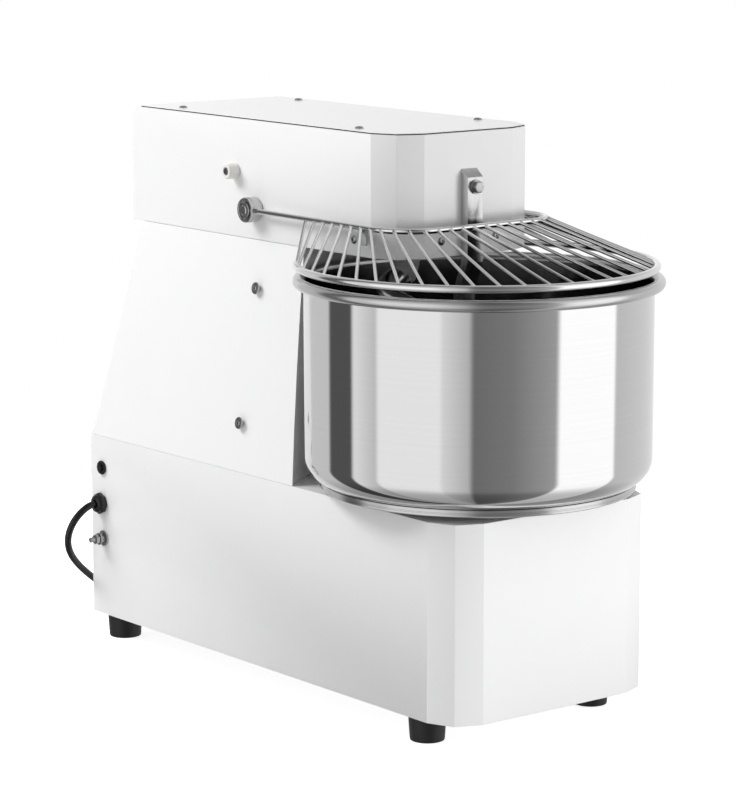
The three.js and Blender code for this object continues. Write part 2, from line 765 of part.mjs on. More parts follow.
place(machine, 'gearbox', gearbox(), casting);
place(machine, 'motor_body', motorBody(), casting, [0, MOTOR_Y, 0]);
place(machine, 'motor_fan_cover', motorFanCover(), blackPlastic, [0, MOTOR_Y, 0]);
const layshaft = new THREE.Group();
layshaft.position.y = LAYSHAFT_Y;
machine.add(layshaft);
place(layshaft, 'layshaft', bar(10, [0, 0, 176], [0, 0, 585]), zinc);
const lowSprocket = sprocket(TEETH.layshaftLow, 10.3, 13.5, -12);
const highSprocket = sprocket(TEETH.layshaftHigh, 10.3, 20, -14);
place(layshaft, 'layshaft_sprocket_low', lowSprocket, zinc, [0, 0, CHAIN.lowZ]);
place(layshaft, 'layshaft_sprocket_high', highSprocket, zinc, [0, 0, CHAIN.highZ]);
const bowlChain = chain(0, TEETH.bowl, LAYSHAFT_Y, TEETH.layshaftLow);
place(machine, 'bowl_chain', bowlChain, casting, [0, 0, CHAIN.lowZ]);
const headChain = chain(SPIRAL_Y, TEETH.spiral, LAYSHAFT_Y, TEETH.layshaftHigh);
place(machine, 'head_chain', headChain, casting, [0, 0, CHAIN.highZ]);

place(machine, 'bowl_bearing', bowlBearing(), casting);
place(machine, 'bowl', bowl(), stainless);
place(machine, 'turntable', turntable(), stainless);
place(machine, 'bowl_shaft', bar(15, [0, 0, 176], [0, 0, TURNTABLE.bottom - GAP]), zinc);
place(machine, 'bowl_sprocket', sprocket(TEETH.bowl, 15.3, 28, -12), zinc, [0, 0, CHAIN.lowZ]);

const spiral = new THREE.Group();
spiral.position.y = SPIRAL_Y;
machine.add(spiral);
place(machine, 'spiral_bearing', spiralBearing(), casting, [0, SPIRAL_Y, 0]);
place(spiral, 'spiral_shaft', bar(SPIRAL.shaft, [0, 0, SPIRAL_HUB.top + GAP], [0, 0, 585]), stainless);
place(spiral, 'spiral_sprocket', sprocket(TEETH.spiral, 12.8, 18, -14), zinc, [0, 0, CHAIN.highZ]);
place(spiral, 'spiral_hook', spiralHook(), stainless);

place(machine, 'guard_frame', guardFrame(), stainless);
place(machine, 'guard_tab', guardTab(), greyPlastic);
for (const [name, side] of [['l', -1], ['r', 1]]) {
  place(machine, `guard_hub_${name}`, guardHub(side), stainless, [0, PIVOT.y, PIVOT.z]);
  place(machine, `guard_pin_${name}`, pivotPin(side, side < 0), zinc, [0, PIVOT.y, PIVOT.z]);
}
place(machine, 'guard_switch', guardSwitch(), blackPlastic);
place(machine, 'guard_stop', guardStop(), nylon, [0, GUARD_STOP.y, GUARD_STOP.z]);
place(machine, 'guard_stop_screw', guardStopScrew(), zinc, [0, GUARD_STOP.y, GUARD_STOP.z]);

place(machine, 'mains_cord', rod(CORD_ROUTE, CORD_RADIUS, 8, 34), blackPlastic);
place(machine, 'cord_coil', cordCoil(), blackPlastic, [COIL.x, COIL.y, 0]);
place(machine, 'mains_plug', mainsPlug(), blackPlastic, [0, 547, 19.3]);

export default group;
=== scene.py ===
# %% [markdown]
# # A spiral dough kneader, from CAD frame to finished looks
# The machine is a bakery kneader of about 20 litres: a white steel base and column, a box head, a polished
# bowl that turns on the base, a spiral hook that hangs from the head, and a wire guard that hinges up over
# it. The CAD frame fixes every size and every joint. This lesson builds the visible pieces round that frame.
# %% Load the frame
import json
import math

import bmesh
import bpy
from mathutils import Matrix, Vector


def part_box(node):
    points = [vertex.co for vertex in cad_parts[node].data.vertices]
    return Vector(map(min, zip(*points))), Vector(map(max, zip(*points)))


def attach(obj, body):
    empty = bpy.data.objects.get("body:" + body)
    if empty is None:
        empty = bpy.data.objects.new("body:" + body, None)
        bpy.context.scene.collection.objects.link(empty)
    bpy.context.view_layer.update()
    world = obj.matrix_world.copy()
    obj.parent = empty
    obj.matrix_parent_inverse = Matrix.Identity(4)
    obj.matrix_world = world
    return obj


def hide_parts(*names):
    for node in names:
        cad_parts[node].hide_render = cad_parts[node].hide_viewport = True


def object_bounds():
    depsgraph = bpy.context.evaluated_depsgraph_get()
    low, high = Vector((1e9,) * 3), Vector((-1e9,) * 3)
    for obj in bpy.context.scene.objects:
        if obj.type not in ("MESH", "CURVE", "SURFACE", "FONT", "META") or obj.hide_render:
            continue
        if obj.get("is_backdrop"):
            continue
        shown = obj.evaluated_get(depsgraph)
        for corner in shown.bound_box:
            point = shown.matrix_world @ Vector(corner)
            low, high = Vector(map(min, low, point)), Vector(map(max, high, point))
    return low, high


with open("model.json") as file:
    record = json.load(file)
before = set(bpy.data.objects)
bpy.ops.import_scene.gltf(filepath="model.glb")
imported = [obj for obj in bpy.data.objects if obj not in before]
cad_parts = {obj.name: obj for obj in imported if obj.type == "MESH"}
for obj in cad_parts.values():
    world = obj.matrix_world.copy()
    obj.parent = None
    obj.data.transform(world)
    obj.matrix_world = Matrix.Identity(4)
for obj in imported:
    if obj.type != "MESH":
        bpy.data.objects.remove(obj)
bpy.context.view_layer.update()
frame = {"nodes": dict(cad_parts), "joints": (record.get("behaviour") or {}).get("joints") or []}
scene = bpy.context.scene
MM = 0.001

# %% [markdown]
# ## The camera
# A long lens from the front left keeps the upright edges nearly parallel, as in a catalogue. The camera could
# be posed by hand, but an aim point, two angles and a distance are easier to read and to change.
# %% Camera
LENS = 144.6
AIM = Vector((0.0, 0.0203, 0.3062))
AIM_DISTANCE = 3.487
AZIMUTH = math.radians(-38.28)
ELEVATION = math.radians(10.12)

camera_data = bpy.data.cameras.new("camera")
camera_data.lens = LENS
camera_data.sensor_width = 36
camera = bpy.data.objects.new("camera", camera_data)
scene.collection.objects.link(camera)
towards_camera = Vector((
    math.sin(AZIMUTH) * math.cos(ELEVATION),
    -math.cos(AZIMUTH) * math.cos(ELEVATION),
    math.sin(ELEVATION),
))
camera.location = AIM + towards_camera * AIM_DISTANCE
camera.rotation_euler = (math.pi / 2 - ELEVATION, 0, AZIMUTH)
scene.camera = camera
print("camera stands at", [round(v, 3) for v in camera.location])

# %% [markdown]
# ## Node groups for the finishes
# Several finishes share an effect: the fine peel of a sprayed or moulded skin, the drawn lines of polished
# steel, and edges that handling has rubbed. Each could be copied into every material, but a group with named
# sockets is built once and set per finish. The groups put out heights and masks only.
# %% A helper that makes a group with named sockets
FLOAT = "NodeSocketFloat"
VECTOR = "NodeSocketVector"


def new_group(name, inputs, outputs):
    group = bpy.data.node_groups.new(name, "ShaderNodeTree")
    for label, kind, value in inputs:
        socket = group.interface.new_socket(label, in_out="INPUT", socket_type=kind)
        socket.default_value = value
    for label in outputs:
        group.interface.new_socket(label, in_out="OUTPUT", socket_type=FLOAT)
    start = group.nodes.new("NodeGroupInput")
    end = group.nodes.new("NodeGroupOutput")
    return group, start, end


def add(tree, kind, values=None, **settings):
    """Adds a node, sets its own options and gives values to its sockets."""
    node = tree.nodes.new(kind)
    for key, value in settings.items():
        setattr(node, key, value)
    for socket, value in (values or {}).items():
        node.inputs[socket].default_value = value
    return node


print("group helpers: ready")

# %% [markdown]
# Sprayed enamel and moulded plastic are never quite flat: there is a fine orange peel, and the sheen drifts
# a little from place to place. Two noise textures at very different scales give both.
# %% Skin peel: fine bumps and broad cloudy patches
def make_skin_peel():
    group, start, end = new_group(
        "skin peel",
        [("Bumps per metre", FLOAT, 600.0), ("Patches per metre", FLOAT, 6.0)],
        ["Height", "Patches"],
    )
    place = add(group, "ShaderNodeTexCoord")
    fine = add(group, "ShaderNodeTexNoise", {"Detail": 2.0})
    broad = add(group, "ShaderNodeTexNoise", {"Detail": 3.0})
    spread = add(group, "ShaderNodeMapRange", {"From Min": 0.1, "From Max": 0.9})
    links = group.links
    links.new(place.outputs["Object"], fine.inputs["Vector"])
    links.new(place.outputs["Object"], broad.inputs["Vector"])
    links.new(start.outputs["Bumps per metre"], fine.inputs["Scale"])
    links.new(start.outputs["Patches per metre"], broad.inputs["Scale"])
    links.new(fine.outputs["Fac"], end.inputs["Height"])
    links.new(broad.outputs["Fac"], spread.inputs["Value"])
    links.new(spread.outputs["Result"], end.inputs["Patches"])
    return group


skin_peel = make_skin_peel()
print("group:", skin_peel.name)

# %% [markdown]
# Polished and drawn steel carries fine parallel lines that stretch the highlights. Squeezing one noise
# texture along one direction gives them without drawing a single line.
# %% Drawn lines: noise squeezed hard along one direction
def make_drawn_lines():
    group, start, end = new_group(
        "drawn lines",
        [("Lines per metre", VECTOR, (3.0, 3.0, 1500.0))],
        ["Height", "Streaks"],
    )
    place = add(group, "ShaderNodeTexCoord")
    squeeze = add(group, "ShaderNodeVectorMath", operation="MULTIPLY")
    lines = add(group, "ShaderNodeTexNoise", {"Scale": 1.0, "Detail": 4.0})
    calm = add(group, "ShaderNodeVectorMath", {"Scale": 0.12}, operation="SCALE")
    streaks = add(group, "ShaderNodeTexNoise", {"Scale": 1.0, "Detail": 2.0})
    links = group.links
    links.new(place.outputs["Object"], squeeze.inputs[0])
    links.new(start.outputs["Lines per metre"], squeeze.inputs[1])
    links.new(squeeze.outputs["Vector"], lines.inputs["Vector"])
    links.new(squeeze.outputs["Vector"], calm.inputs["Vector"])
    links.new(calm.outputs["Vector"], streaks.inputs["Vector"])
    links.new(lines.outputs["Fac"], end.inputs["Height"])
    links.new(streaks.outputs["Fac"], end.inputs["Streaks"])
    return group


drawn_lines = make_drawn_lines()
print("group:", drawn_lines.name)

# %% [markdown]
# Castings go bright where hands and tools have rubbed the corners. The shader already knows where a mesh
# turns a corner, and noise breaks that up so that the wear isn't even.
# %% Rubbed edges: a mask that is high where the surface turns a corner
def make_rubbed_edges():
    group, start, end = new_group(
        "rubbed edges",
        [("Edge start", FLOAT, 0.53), ("Edge full", FLOAT, 0.62), ("Breakup per metre", FLOAT, 90.0)],
        ["Mask"],
    )
    shape = add(group, "ShaderNodeNewGeometry")
    place = add(group, "ShaderNodeTexCoord")
    breakup = add(group, "ShaderNodeTexNoise")
    edge = add(group, "ShaderNodeMapRange")
    worn = add(group, "ShaderNodeMath", operation="MULTIPLY")
    links = group.links
    links.new(shape.outputs["Pointiness"], edge.inputs["Value"])
    links.new(start.outputs["Edge start"], edge.inputs["From Min"])
    links.new(start.outputs["Edge full"], edge.inputs["From Max"])
    links.new(place.outputs["Object"], breakup.inputs["Vector"])
    links.new(start.outputs["Breakup per metre"], breakup.inputs["Scale"])
    links.new(edge.outputs["Result"], worn.inputs[0])
    links.new(breakup.outputs["Fac"], worn.inputs[1])
    links.new(worn.outputs["Value"], end.inputs["Mask"])
    return group


rubbed_edges = make_rubbed_edges()
print("group:", rubbed_edges.name)

# %% [markdown]
# ## The finishes
# Every finish starts from one Principled shader. What is the same all over, such as metalness, is set on the
# shader itself, and only what changes over the surface is linked from a group.
# %% Helpers that start a material and wire a group into it
def new_finish(name, metallic, roughness, coat=0.0):
    finish = bpy.data.materials.new(name)
    finish.use_nodes = True
    shader = finish.node_tree.nodes["Principled BSDF"]
    shader.inputs["Metallic"].default_value = metallic
    shader.inputs["Roughness"].default_value = roughness
    shader.inputs["Coat Weight"].default_value = coat
    return finish, shader


def place_group(finish, group, values=None):
    return add(finish.node_tree, "ShaderNodeGroup", values, node_tree=group)


def tint(finish, shader, mask, low, high):
    mix = add(finish.node_tree, "ShaderNodeMix", {"A": (*low, 1), "B": (*high, 1)}, data_type="RGBA")
    finish.node_tree.links.new(mask, mix.inputs["Factor"])
    finish.node_tree.links.new(mix.outputs["Result"], shader.inputs["Base Color"])


def vary_roughness(finish, shader, mask, low, high):
    spread = add(finish.node_tree, "ShaderNodeMapRange", {"To Min": low, "To Max": high})
    finish.node_tree.links.new(mask, spread.inputs["Value"])
    finish.node_tree.links.new(spread.outputs["Result"], shader.inputs["Roughness"])


def bump(finish, shader, height, distance):
    node = add(finish.node_tree, "ShaderNodeBump", {"Distance": distance, "Strength": 1.0})
    finish.node_tree.links.new(height, node.inputs["Height"])
    finish.node_tree.links.new(node.outputs["Normal"], shader.inputs["Normal"])


print("finish helpers: ready")


# %% A sprayed or moulded skin: enamel, plastics and rubber
def skin_finish(name, dark, light, roughness, bumps, depth, coat=0.0, spread=0.06):
    finish, shader = new_finish(name, 0.0, roughness, coat)
    peel = place_group(finish, skin_peel, {"Bumps per metre": bumps})
    tint(finish, shader, peel.outputs["Patches"], dark, light)
    vary_roughness(finish, shader, peel.outputs["Patches"], roughness - spread, roughness + spread)
    bump(finish, shader, peel.outputs["Height"], depth)
    return finish


# Name, darker and lighter colour, roughness, bumps in a metre, and how deep they are in metres.
white_enamel = skin_finish(
    "white enamel", (0.872, 0.875, 0.875), (0.888, 0.89, 0.888), 0.33, 420, 0.00002, coat=0.15, spread=0.02)
black_rubber = skin_finish("black rubber", (0.005, 0.005, 0.006), (0.014, 0.014, 0.015), 0.55, 900, 0.00008)
cord_rubber = skin_finish("cord rubber", (0.003, 0.003, 0.004), (0.008, 0.008, 0.009), 0.3, 1400, 0.00002)
black_moulding = skin_finish("black moulding", (0.004, 0.004, 0.005), (0.01, 0.01, 0.011), 0.3, 1600, 0.00002)
grey_moulding = skin_finish("grey moulding", (0.42, 0.43, 0.44), (0.52, 0.53, 0.54), 0.42, 1600, 0.00003)
white_nylon = skin_finish("white nylon", (0.78, 0.77, 0.73), (0.86, 0.85, 0.81), 0.45, 1200, 0.00002)
green_cap = skin_finish("green cap", (0.015, 0.28, 0.08), (0.02, 0.36, 0.11), 0.25, 1600, 0.00001, coat=0.4)
red_cap = skin_finish("red cap", (0.48, 0.02, 0.015), (0.58, 0.03, 0.02), 0.25, 1600, 0.00001, coat=0.4)
print("skins: enamel, rubbers, mouldings, nylon, caps")


# %% Polished, plated and cast metal
def grey(level):
    return level, level, level


def steel_finish(name, dark, light, roughness, spread, lines, depth, metallic=1.0):
    finish, shader = new_finish(name, metallic, roughness)
    drawn = place_group(finish, drawn_lines, {"Lines per metre": lines})
    tint(finish, shader, drawn.outputs["Streaks"], dark, light)
    vary_roughness(finish, shader, drawn.outputs["Streaks"], roughness - spread, roughness + spread)
    bump(finish, shader, drawn.outputs["Height"], depth)
    return finish


CAST_BUMPS = 350
CAST_DEPTH = 0.4 * MM
CAST_SPREAD = 0.08


def cast_finish(name, dark, light, roughness, metallic):
    finish, shader = new_finish(name, metallic, roughness)
    peel = place_group(finish, skin_peel, {"Bumps per metre": CAST_BUMPS})
    edges = place_group(finish, rubbed_edges)
    tint(finish, shader, edges.outputs["Mask"], dark, light)
    vary_roughness(
        finish, shader, peel.outputs["Patches"], roughness - CAST_SPREAD, roughness + CAST_SPREAD)
    bump(finish, shader, peel.outputs["Height"], CAST_DEPTH)
    return finish


# Name, darker and lighter colour, roughness, how far it drifts, lines in a metre along x, y and z, and their
# depth in metres. The cone is matt, and its near-white colour and less than full metal are also painted light
# for the soft box that lights it under the head.
bowl_steel = steel_finish("bowl steel", grey(0.74), grey(0.79), 0.06, 0.02, (4, 4, 2200), 0.0000008)
# Painted shade: the bowl's inside is the same polished steel made much darker, standing in for the shade in
# its hollow.
inner_steel_painted_shade = steel_finish("bowl inside painted shade", grey(0.16), grey(0.21), 0.12, 0.03, (5, 5, 1500), 0.000002)
rim_steel = steel_finish("rim steel", grey(0.6), grey(0.7), 0.24, 0.05, (40, 40, 900), 0.000005)
# Painted light: the cone's near-white colour and lowered metal stand in for the soft box's light falling on
# it.
cone_steel_painted_light = steel_finish("cone steel painted light", grey(0.82), grey(0.94), 0.4, 0.08, (30, 30, 900), 0.00001, 0.45)
bar_steel = steel_finish("bar steel", grey(0.56), grey(0.7), 0.24, 0.05, (1600, 1600, 12), 0.000004)
wire_steel = steel_finish("wire steel", grey(0.8), grey(0.9), 0.16, 0.04, (120, 120, 120), 0.000004)
turned_steel = steel_finish("turned steel", grey(0.5), grey(0.68), 0.24, 0.06, (2600, 60, 60), 0.00001)
zinc_steel = steel_finish(
    "zinc plate", (0.38, 0.39, 0.4), (0.56, 0.56, 0.55), 0.28, 0.08, (180, 180, 180), 0.00001)
cast_iron = cast_finish("cast iron", (0.05, 0.05, 0.052), (0.2, 0.2, 0.2), 0.55, 0.6)
cast_alloy = cast_finish("cast alloy", (0.3, 0.305, 0.31), (0.5, 0.5, 0.5), 0.5, 0.4)
print("metals: bowl, bars, wires, turned, zinc, castings")

# %% [markdown]
# ## Shapes
# Most of this machine is turned, bent from rod or folded from sheet, so three helpers make nearly all of it:
# a profile turned about an axis, a round section swept along a line, and a CAD node whose sharp folds are
# given a bend radius. Each makes real mesh, so the shape survives any export.
# %% Put a finished mesh into the scene
SHARP = 32  # degrees; a gentler turn than this is shaded smooth
ROD_SHARP = 50
SAME_POINT = 1e-6


def add_piece(name, bm, finish, slot, body, *stands_for, sharp=SHARP):
    bmesh.ops.remove_doubles(bm, verts=bm.verts, dist=SAME_POINT)
    bmesh.ops.recalc_face_normals(bm, faces=bm.faces)
    mesh = bpy.data.meshes.new(name)
    bm.to_mesh(mesh)
    bm.free()
    mesh.shade_smooth()
    mesh.set_sharp_from_angle(angle=math.radians(sharp))
    mesh.materials.append(finish)
    piece = bpy.data.objects.new(name, mesh)
    scene.collection.objects.link(piece)
    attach(piece, body)
    if stands_for:
        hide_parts(*stands_for)
    print("made", name, "-", len(mesh.polygons), "faces")
    return piece


# %% Arcs and turned shapes
UPRIGHT = Matrix.Identity(4)
TO_LEFT = Matrix.Rotation(-math.pi / 2, 4, "Y")
TO_RIGHT = Matrix.Rotation(math.pi / 2, 4, "Y")
TO_FRONT = Matrix.Rotation(math.pi / 2, 4, "X")


def arc(cx, cy, radius, start, stop, steps):
    angles = [math.radians(start + (stop - start) * i / steps) for i in range(steps + 1)]
    return [(cx + radius * math.cos(a), cy + radius * math.sin(a)) for a in angles]


def turned(bm, profile, where=UPRIGHT, segments=64):
    """Turns (radius, height) points about Z, then moves the solid to its place."""
    rings = []
    for radius, height in profile:
        if radius == 0:
            rings.append([bm.verts.new(where @ Vector((0, 0, height)))])
            continue
        ring = []
        for i in range(segments):
            angle = 2 * math.pi * i / segments
            point = Vector((radius * math.cos(angle), radius * math.sin(angle), height))
            ring.append(bm.verts.new(where @ point))
        rings.append(ring)
    closed = profile[0][0] != 0 or profile[-1][0] != 0
    pairs = list(zip(rings, rings[1:] + rings[:1])) if closed else list(zip(rings, rings[1:]))
    for low, high in pairs:
        for i in range(segments):
            j = (i + 1) % segments
            corners = [low[i % len(low)], low[j % len(low)], high[j % len(high)], high[i % len(high)]]
            corners = list(dict.fromkeys(corners))
            if len(corners) > 2:
                bm.faces.new(corners)
    return bm


def turned_mm(bm, profile, where, segments):
    """The same, from a profile written in millimetres."""
    return turned(bm, [(radius * MM, height * MM) for radius, height in profile], where, segments)


print("turned shapes: ready")


# %% Swept rods
def swept(bm, points, radii, sides=16):
    """Sweeps a round section along points. radii is one radius, or one for each point."""
    points = [Vector(p) for p in points]
    if not isinstance(radii, (list, tuple)):
        radii = [radii] * len(points)
    tangents = []
    for i in range(len(points)):
        before = points[max(i - 1, 0)]
        after = points[min(i + 1, len(points) - 1)]
        tangents.append((after - before).normalized())
    side = tangents[0].orthogonal().normalized()
    rings = []
    for point, tangent, radius in zip(points, tangents, radii):
        side = (side - tangent * side.dot(tangent)).normalized()
        other = tangent.cross(side)
        ring = []
        for i in range(sides):
            angle = 2 * math.pi * i / sides
            ring.append(bm.verts.new(point + (side * math.cos(angle) + other * math.sin(angle)) * radius))
        rings.append(ring)
    for low, high in zip(rings, rings[1:]):
        for i in range(sides):
            j = (i + 1) % sides
            bm.faces.new([low[i], low[j], high[j], high[i]])
    bm.faces.new(rings[0][::-1])
    bm.faces.new(rings[-1])
    return bm


print("swept rods: ready")


# %% Carving: a cutter taken out of a shape
def as_object(bm):
    mesh = bpy.data.meshes.new("blank")
    bmesh.ops.recalc_face_normals(bm, faces=bm.faces)
    bm.to_mesh(mesh)
    bm.free()
    blank = bpy.data.objects.new("blank", mesh)
    scene.collection.objects.link(blank)
    return blank


def carve(bm, cutter):
    """Takes cutter out of bm and gives back the carved shape."""
    blank, tool = as_object(bm), as_object(cutter)
    cut = blank.modifiers.new("cut", "BOOLEAN")
    cut.operation = "DIFFERENCE"
    cut.solver = "EXACT"
    cut.object = tool
    carved = bmesh.new()
    carved.from_object(blank, bpy.context.evaluated_depsgraph_get())
    for used in (blank, tool):
        mesh = used.data
        bpy.data.objects.remove(used)
        bpy.data.meshes.remove(mesh)
    return carved


def slot_tool(where, length, width, low, high):
    tool = bmesh.new()
    middle = Matrix.Translation((0, 0, (low + high) / 2))
    size = Matrix.Diagonal((length, width, high - low, 1))
    bmesh.ops.create_cube(tool, size=1, matrix=where @ middle @ size)
    return tool


print("carving: ready")


# %% Folded sheet: a CAD node with a radius on every fold
FOLD_STEPS = 3
FOLD_SHARP = 60
WELD_GAP = 0.02 * MM
FLAT_WITHIN = math.radians(1)


def folded(name, node, finish, slot, body, radius, angle=12):
    """Takes the node's mesh, merges its flat faces and rounds every edge that turns by more than angle."""
    bm = bmesh.new()
    bm.from_mesh(frame["nodes"][node].data)
    bmesh.ops.remove_doubles(bm, verts=bm.verts, dist=WELD_GAP)
    bmesh.ops.dissolve_limit(bm, angle_limit=FLAT_WITHIN, verts=bm.verts, edges=bm.edges)
    piece = add_piece(name, bm, finish, slot, body, node, sharp=FOLD_SHARP)
    bevel = piece.modifiers.new("folds", "BEVEL")
    bevel.width = radius
    bevel.segments = FOLD_STEPS
    bevel.limit_method = "ANGLE"
    bevel.angle_limit = math.radians(angle)
    bevel.harden_normals = True
    return piece


print("folds: rounded in", FOLD_STEPS, "steps")

# %% [markdown]
# ## The mains cord
# A rubber lead leaves the gland at the back left, drops behind the base and lies coiled on the floor, with
# its plug beside the coil. It could be simulated, but a short list of given points and a loop for
# the turns give a calm, exact line of the real length.
# %% The route and the coil
CORD = 0.008
BACK = Vector((0, frame["joints"][0]["pos_m"][1], 0))  # the bowl's axis, which the route is measured from
ROUTE = [
    (-0.1483, 0.5014, 0.1576),
    (-0.153, 0.5015, 0.157),
    (-0.1585, 0.5018, 0.155),
    (-0.1685, 0.5032, 0.1476),
    (-0.1758, 0.506, 0.1368),
    (-0.1784, 0.51, 0.1245),
    (-0.1769, 0.514, 0.113),
    (-0.1704, 0.519, 0.0996),
    (-0.1584, 0.525, 0.0867),
    (-0.1435, 0.532, 0.0741),
    (-0.1255, 0.541, 0.0613),
    (-0.107, 0.548, 0.048),
    (-0.089, 0.5515, 0.034),
    (-0.073, 0.552, 0.0215),
    (-0.058, 0.5505, 0.0115),
    (-0.044, 0.5483, 0.006),
    (-0.032, 0.5472, 0.0044),
    (-0.021, 0.547, 0.0043),
    (-0.006, 0.547, 0.0043),
]
coil_low, coil_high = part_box("cord_coil")
COIL_CENTRE = (coil_low + coil_high) / 2
OUTER, INNER = 0.048, 0.040
FLOOR_LANE, MIDDLE_LANE, TOP_LANE = 0.0043, 0.0124, 0.0204
# Where each turn leaves its lane, in degrees along the winding, and the lane it goes to.
LANES = [
    (200, INNER, FLOOR_LANE),
    (490, INNER, MIDDLE_LANE),
    (780, OUTER, MIDDLE_LANE),
    (1140, OUTER, TOP_LANE),
]
SHIFT = 60
COIL_START, COIL_END, COIL_STEP = -90, 1710, 20
PLUG_ENTRY = 12 * MM


def lane_at(angle):
    radius, height = OUTER, FLOOR_LANE
    for leave, next_radius, next_height in LANES:
        share = min(max((angle - leave) / SHIFT, 0), 1)
        ease = share * share * (3 - 2 * share)
        radius += (next_radius - radius) * ease
        height += (next_height - height) * ease
    return radius, height


def cord_points():
    points = [Vector(p) + BACK for p in ROUTE]
    for angle in range(COIL_START, COIL_END + 1, COIL_STEP):
        radius, height = lane_at(angle)
        turn = math.radians(angle)
        points.append(Vector((
            COIL_CENTRE.x + radius * math.cos(turn),
            COIL_CENTRE.y + radius * math.sin(turn),
            height,
        )))
    plug_low, plug_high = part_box("mains_plug")
    middle = (plug_low + plug_high) / 2
    entry = Vector((plug_low.x + PLUG_ENTRY, middle.y, middle.z))
    points += [points[-1].lerp(entry, 0.5), entry]
    return points


print("coil centre:", [round(v, 3) for v in COIL_CENTRE])


# %% The cord as one open curve
def make_cord():
    points = cord_points()
    data = bpy.data.curves.new("mains_lead", "CURVE")
    data.dimensions = "3D"
    spline = data.splines.new("NURBS")
    spline.points.add(len(points) - 1)
    for knot, point in zip(spline.points, points):
        knot.co = (*point, 1)
    spline.order_u = 4
    spline.use_endpoint_u = True
    spline.resolution_u = 6
    data.bevel_depth = CORD / 2
    data.bevel_resolution = 4
    data.use_fill_caps = True
    data.materials.append(cord_rubber)
    cord = bpy.data.objects.new("mains_lead", data)
    scene.collection.objects.link(cord)
    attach(cord, "frame")
    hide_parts("mains_cord", "cord_coil")
    return cord, points


mains_lead, lead_points = make_cord()

# %% [markdown]
# The plug is a plain moulded two-pin one. Its boot is ribbed so that the lead can bend without kinking, so
# the boot is turned from a profile made by a loop.
# %% Plug
RIBS = 6
PIN_SIDE = 9.5 * MM
PLUG_END = 62.7


def make_plug():
    low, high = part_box("mains_plug")
    middle = (low + high) / 2
    bm = bmesh.new()
    boot = [(0, 0), (5.2, 0)]
    for i in range(RIBS):
        x = 3 + i * 4.2
        r = 5.8 + i * 0.4
        boot += [(r + 0.8, x), (r + 0.8, x + 2), (r - 0.4, x + 2.6), (r, x + 3.8)]
    grip = [(9.5, 29), (14.5, 31), (17.5, 36), (19, 42), (19, 61.5), (18, PLUG_END), (0, PLUG_END)]
    turned_mm(bm, boot + grip, Matrix.Translation((low.x, middle.y, middle.z)) @ TO_RIGHT, 40)
    for side in (-PIN_SIDE, PIN_SIDE):
        pin = Matrix.Translation((low.x, middle.y + side, middle.z)) @ TO_RIGHT
        turned_mm(bm, [(0, 62.5), (2.4, PLUG_END), (2.4, 79.5), (1.8, 81.2), (0, 81.7)], pin, 20)
    return add_piece("plug_body", bm, black_moulding, "black_plastic", "frame", "mains_plug")


plug = make_plug()

# %% [markdown]
# ## Folded sheet: base, column and head
# The housing is 2 mm sheet, folded on a press, welded and enamelled. Its front corners are bent in two flats.
# The CAD nodes already have the right shape, so each gets its bend radii here and is otherwise kept.
# %% Base
folded("base_housing", "base_shell", white_enamel, "white_paint", "frame", 1.6 * MM)
folded("base_underside", "base_bottom_plate", zinc_steel, "zinc_steel", "frame", 0.3 * MM, 30)
folded("base_vent_panel", "rear_cover", white_enamel, "white_paint", "frame", 0.4 * MM, 30)

# %% Column
folded("column_housing", "column_shell", white_enamel, "white_paint", "frame", 0.8 * MM, 20)
folded("column_hollow_front", "column_front_wall", white_enamel, "white_paint", "frame", 0.3 * MM, 40)

# %% Head
folded("head_housing", "head_shell", white_enamel, "white_paint", "frame", 1.6 * MM)
folded("head_underside", "head_floor", white_enamel, "white_paint", "frame", 0.3 * MM, 30)
folded("head_cover", "head_lid", white_enamel, "white_paint", "frame", 0.5 * MM, 20)

# %% Black strip under the lid: painted shade for the gap
GAP_SHADE_LOW, GAP_SHADE_HIGH = 0.2 * MM, 1.1 * MM
GAP_SHADE_OUT = 0.25 * MM


def make_gap_shade_strip():
    """A thin black strip under the lid's edge, painted shade for the dark gap there. It is the lid's own
    outline, made a hair larger.
    """
    lid = frame["nodes"]["head_lid"].data
    _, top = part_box("head_shell")
    edge = [vert.co for vert in lid.vertices if vert.co.z > top.z]
    middle = sum(edge, Vector()) / len(edge)
    bm = bmesh.new()
    for height in (GAP_SHADE_LOW, GAP_SHADE_HIGH):
        for point in edge:
            out = point + (point - middle).normalized() * GAP_SHADE_OUT
            bm.verts.new((out.x, out.y, top.z + height))
    bmesh.ops.convex_hull(bm, input=bm.verts)
    # Painted shade: this black strip stands in for the shade in the gap under the lid.
    return add_piece("head_cover_gap_shade", bm, black_rubber, "rubber", "frame")


make_gap_shade_strip()

# %% [markdown]
# ## The bowl
# The bowl is spun from one disc of stainless sheet: a flat bottom, a rounded corner, a straight wall and a
# rim rolled over a ring. Turning its profile gives the same shape. Many segments matter here, because a
# polished wall shows every facet.
# %% Bowl wall and rolled rim
bowl_low, bowl_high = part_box("bowl")
BOWL_AXIS = Matrix.Translation(((bowl_low.x + bowl_high.x) / 2, (bowl_low.y + bowl_high.y) / 2, 0))
RIM_TUBE = 6.2 * MM
RIM_RADIUS = (bowl_high.x - bowl_low.x) / 2 - RIM_TUBE
WALL_RADIUS = RIM_RADIUS - 5 * MM
WALL = 1.5 * MM
CORNER = 28 * MM
RIM_HEIGHT = bowl_high.z - RIM_TUBE
BOWL_SEGMENTS = 192


def bowl_profile():
    bottom = bowl_low.z
    start = math.degrees(math.acos((WALL_RADIUS - RIM_RADIUS) / RIM_TUBE))
    outside = arc(WALL_RADIUS - CORNER, bottom + CORNER, CORNER, -90, 0, 14)
    rim = arc(RIM_RADIUS, RIM_HEIGHT, RIM_TUBE, -start, 178, 22)
    under_rim = (WALL_RADIUS - WALL, RIM_HEIGHT - 2 * MM)
    inside = arc(WALL_RADIUS - CORNER, bottom + CORNER, CORNER - WALL, 0, -90, 14)
    return [(0, bottom), *outside, *rim, under_rim, *inside, (0, bottom + WALL)]


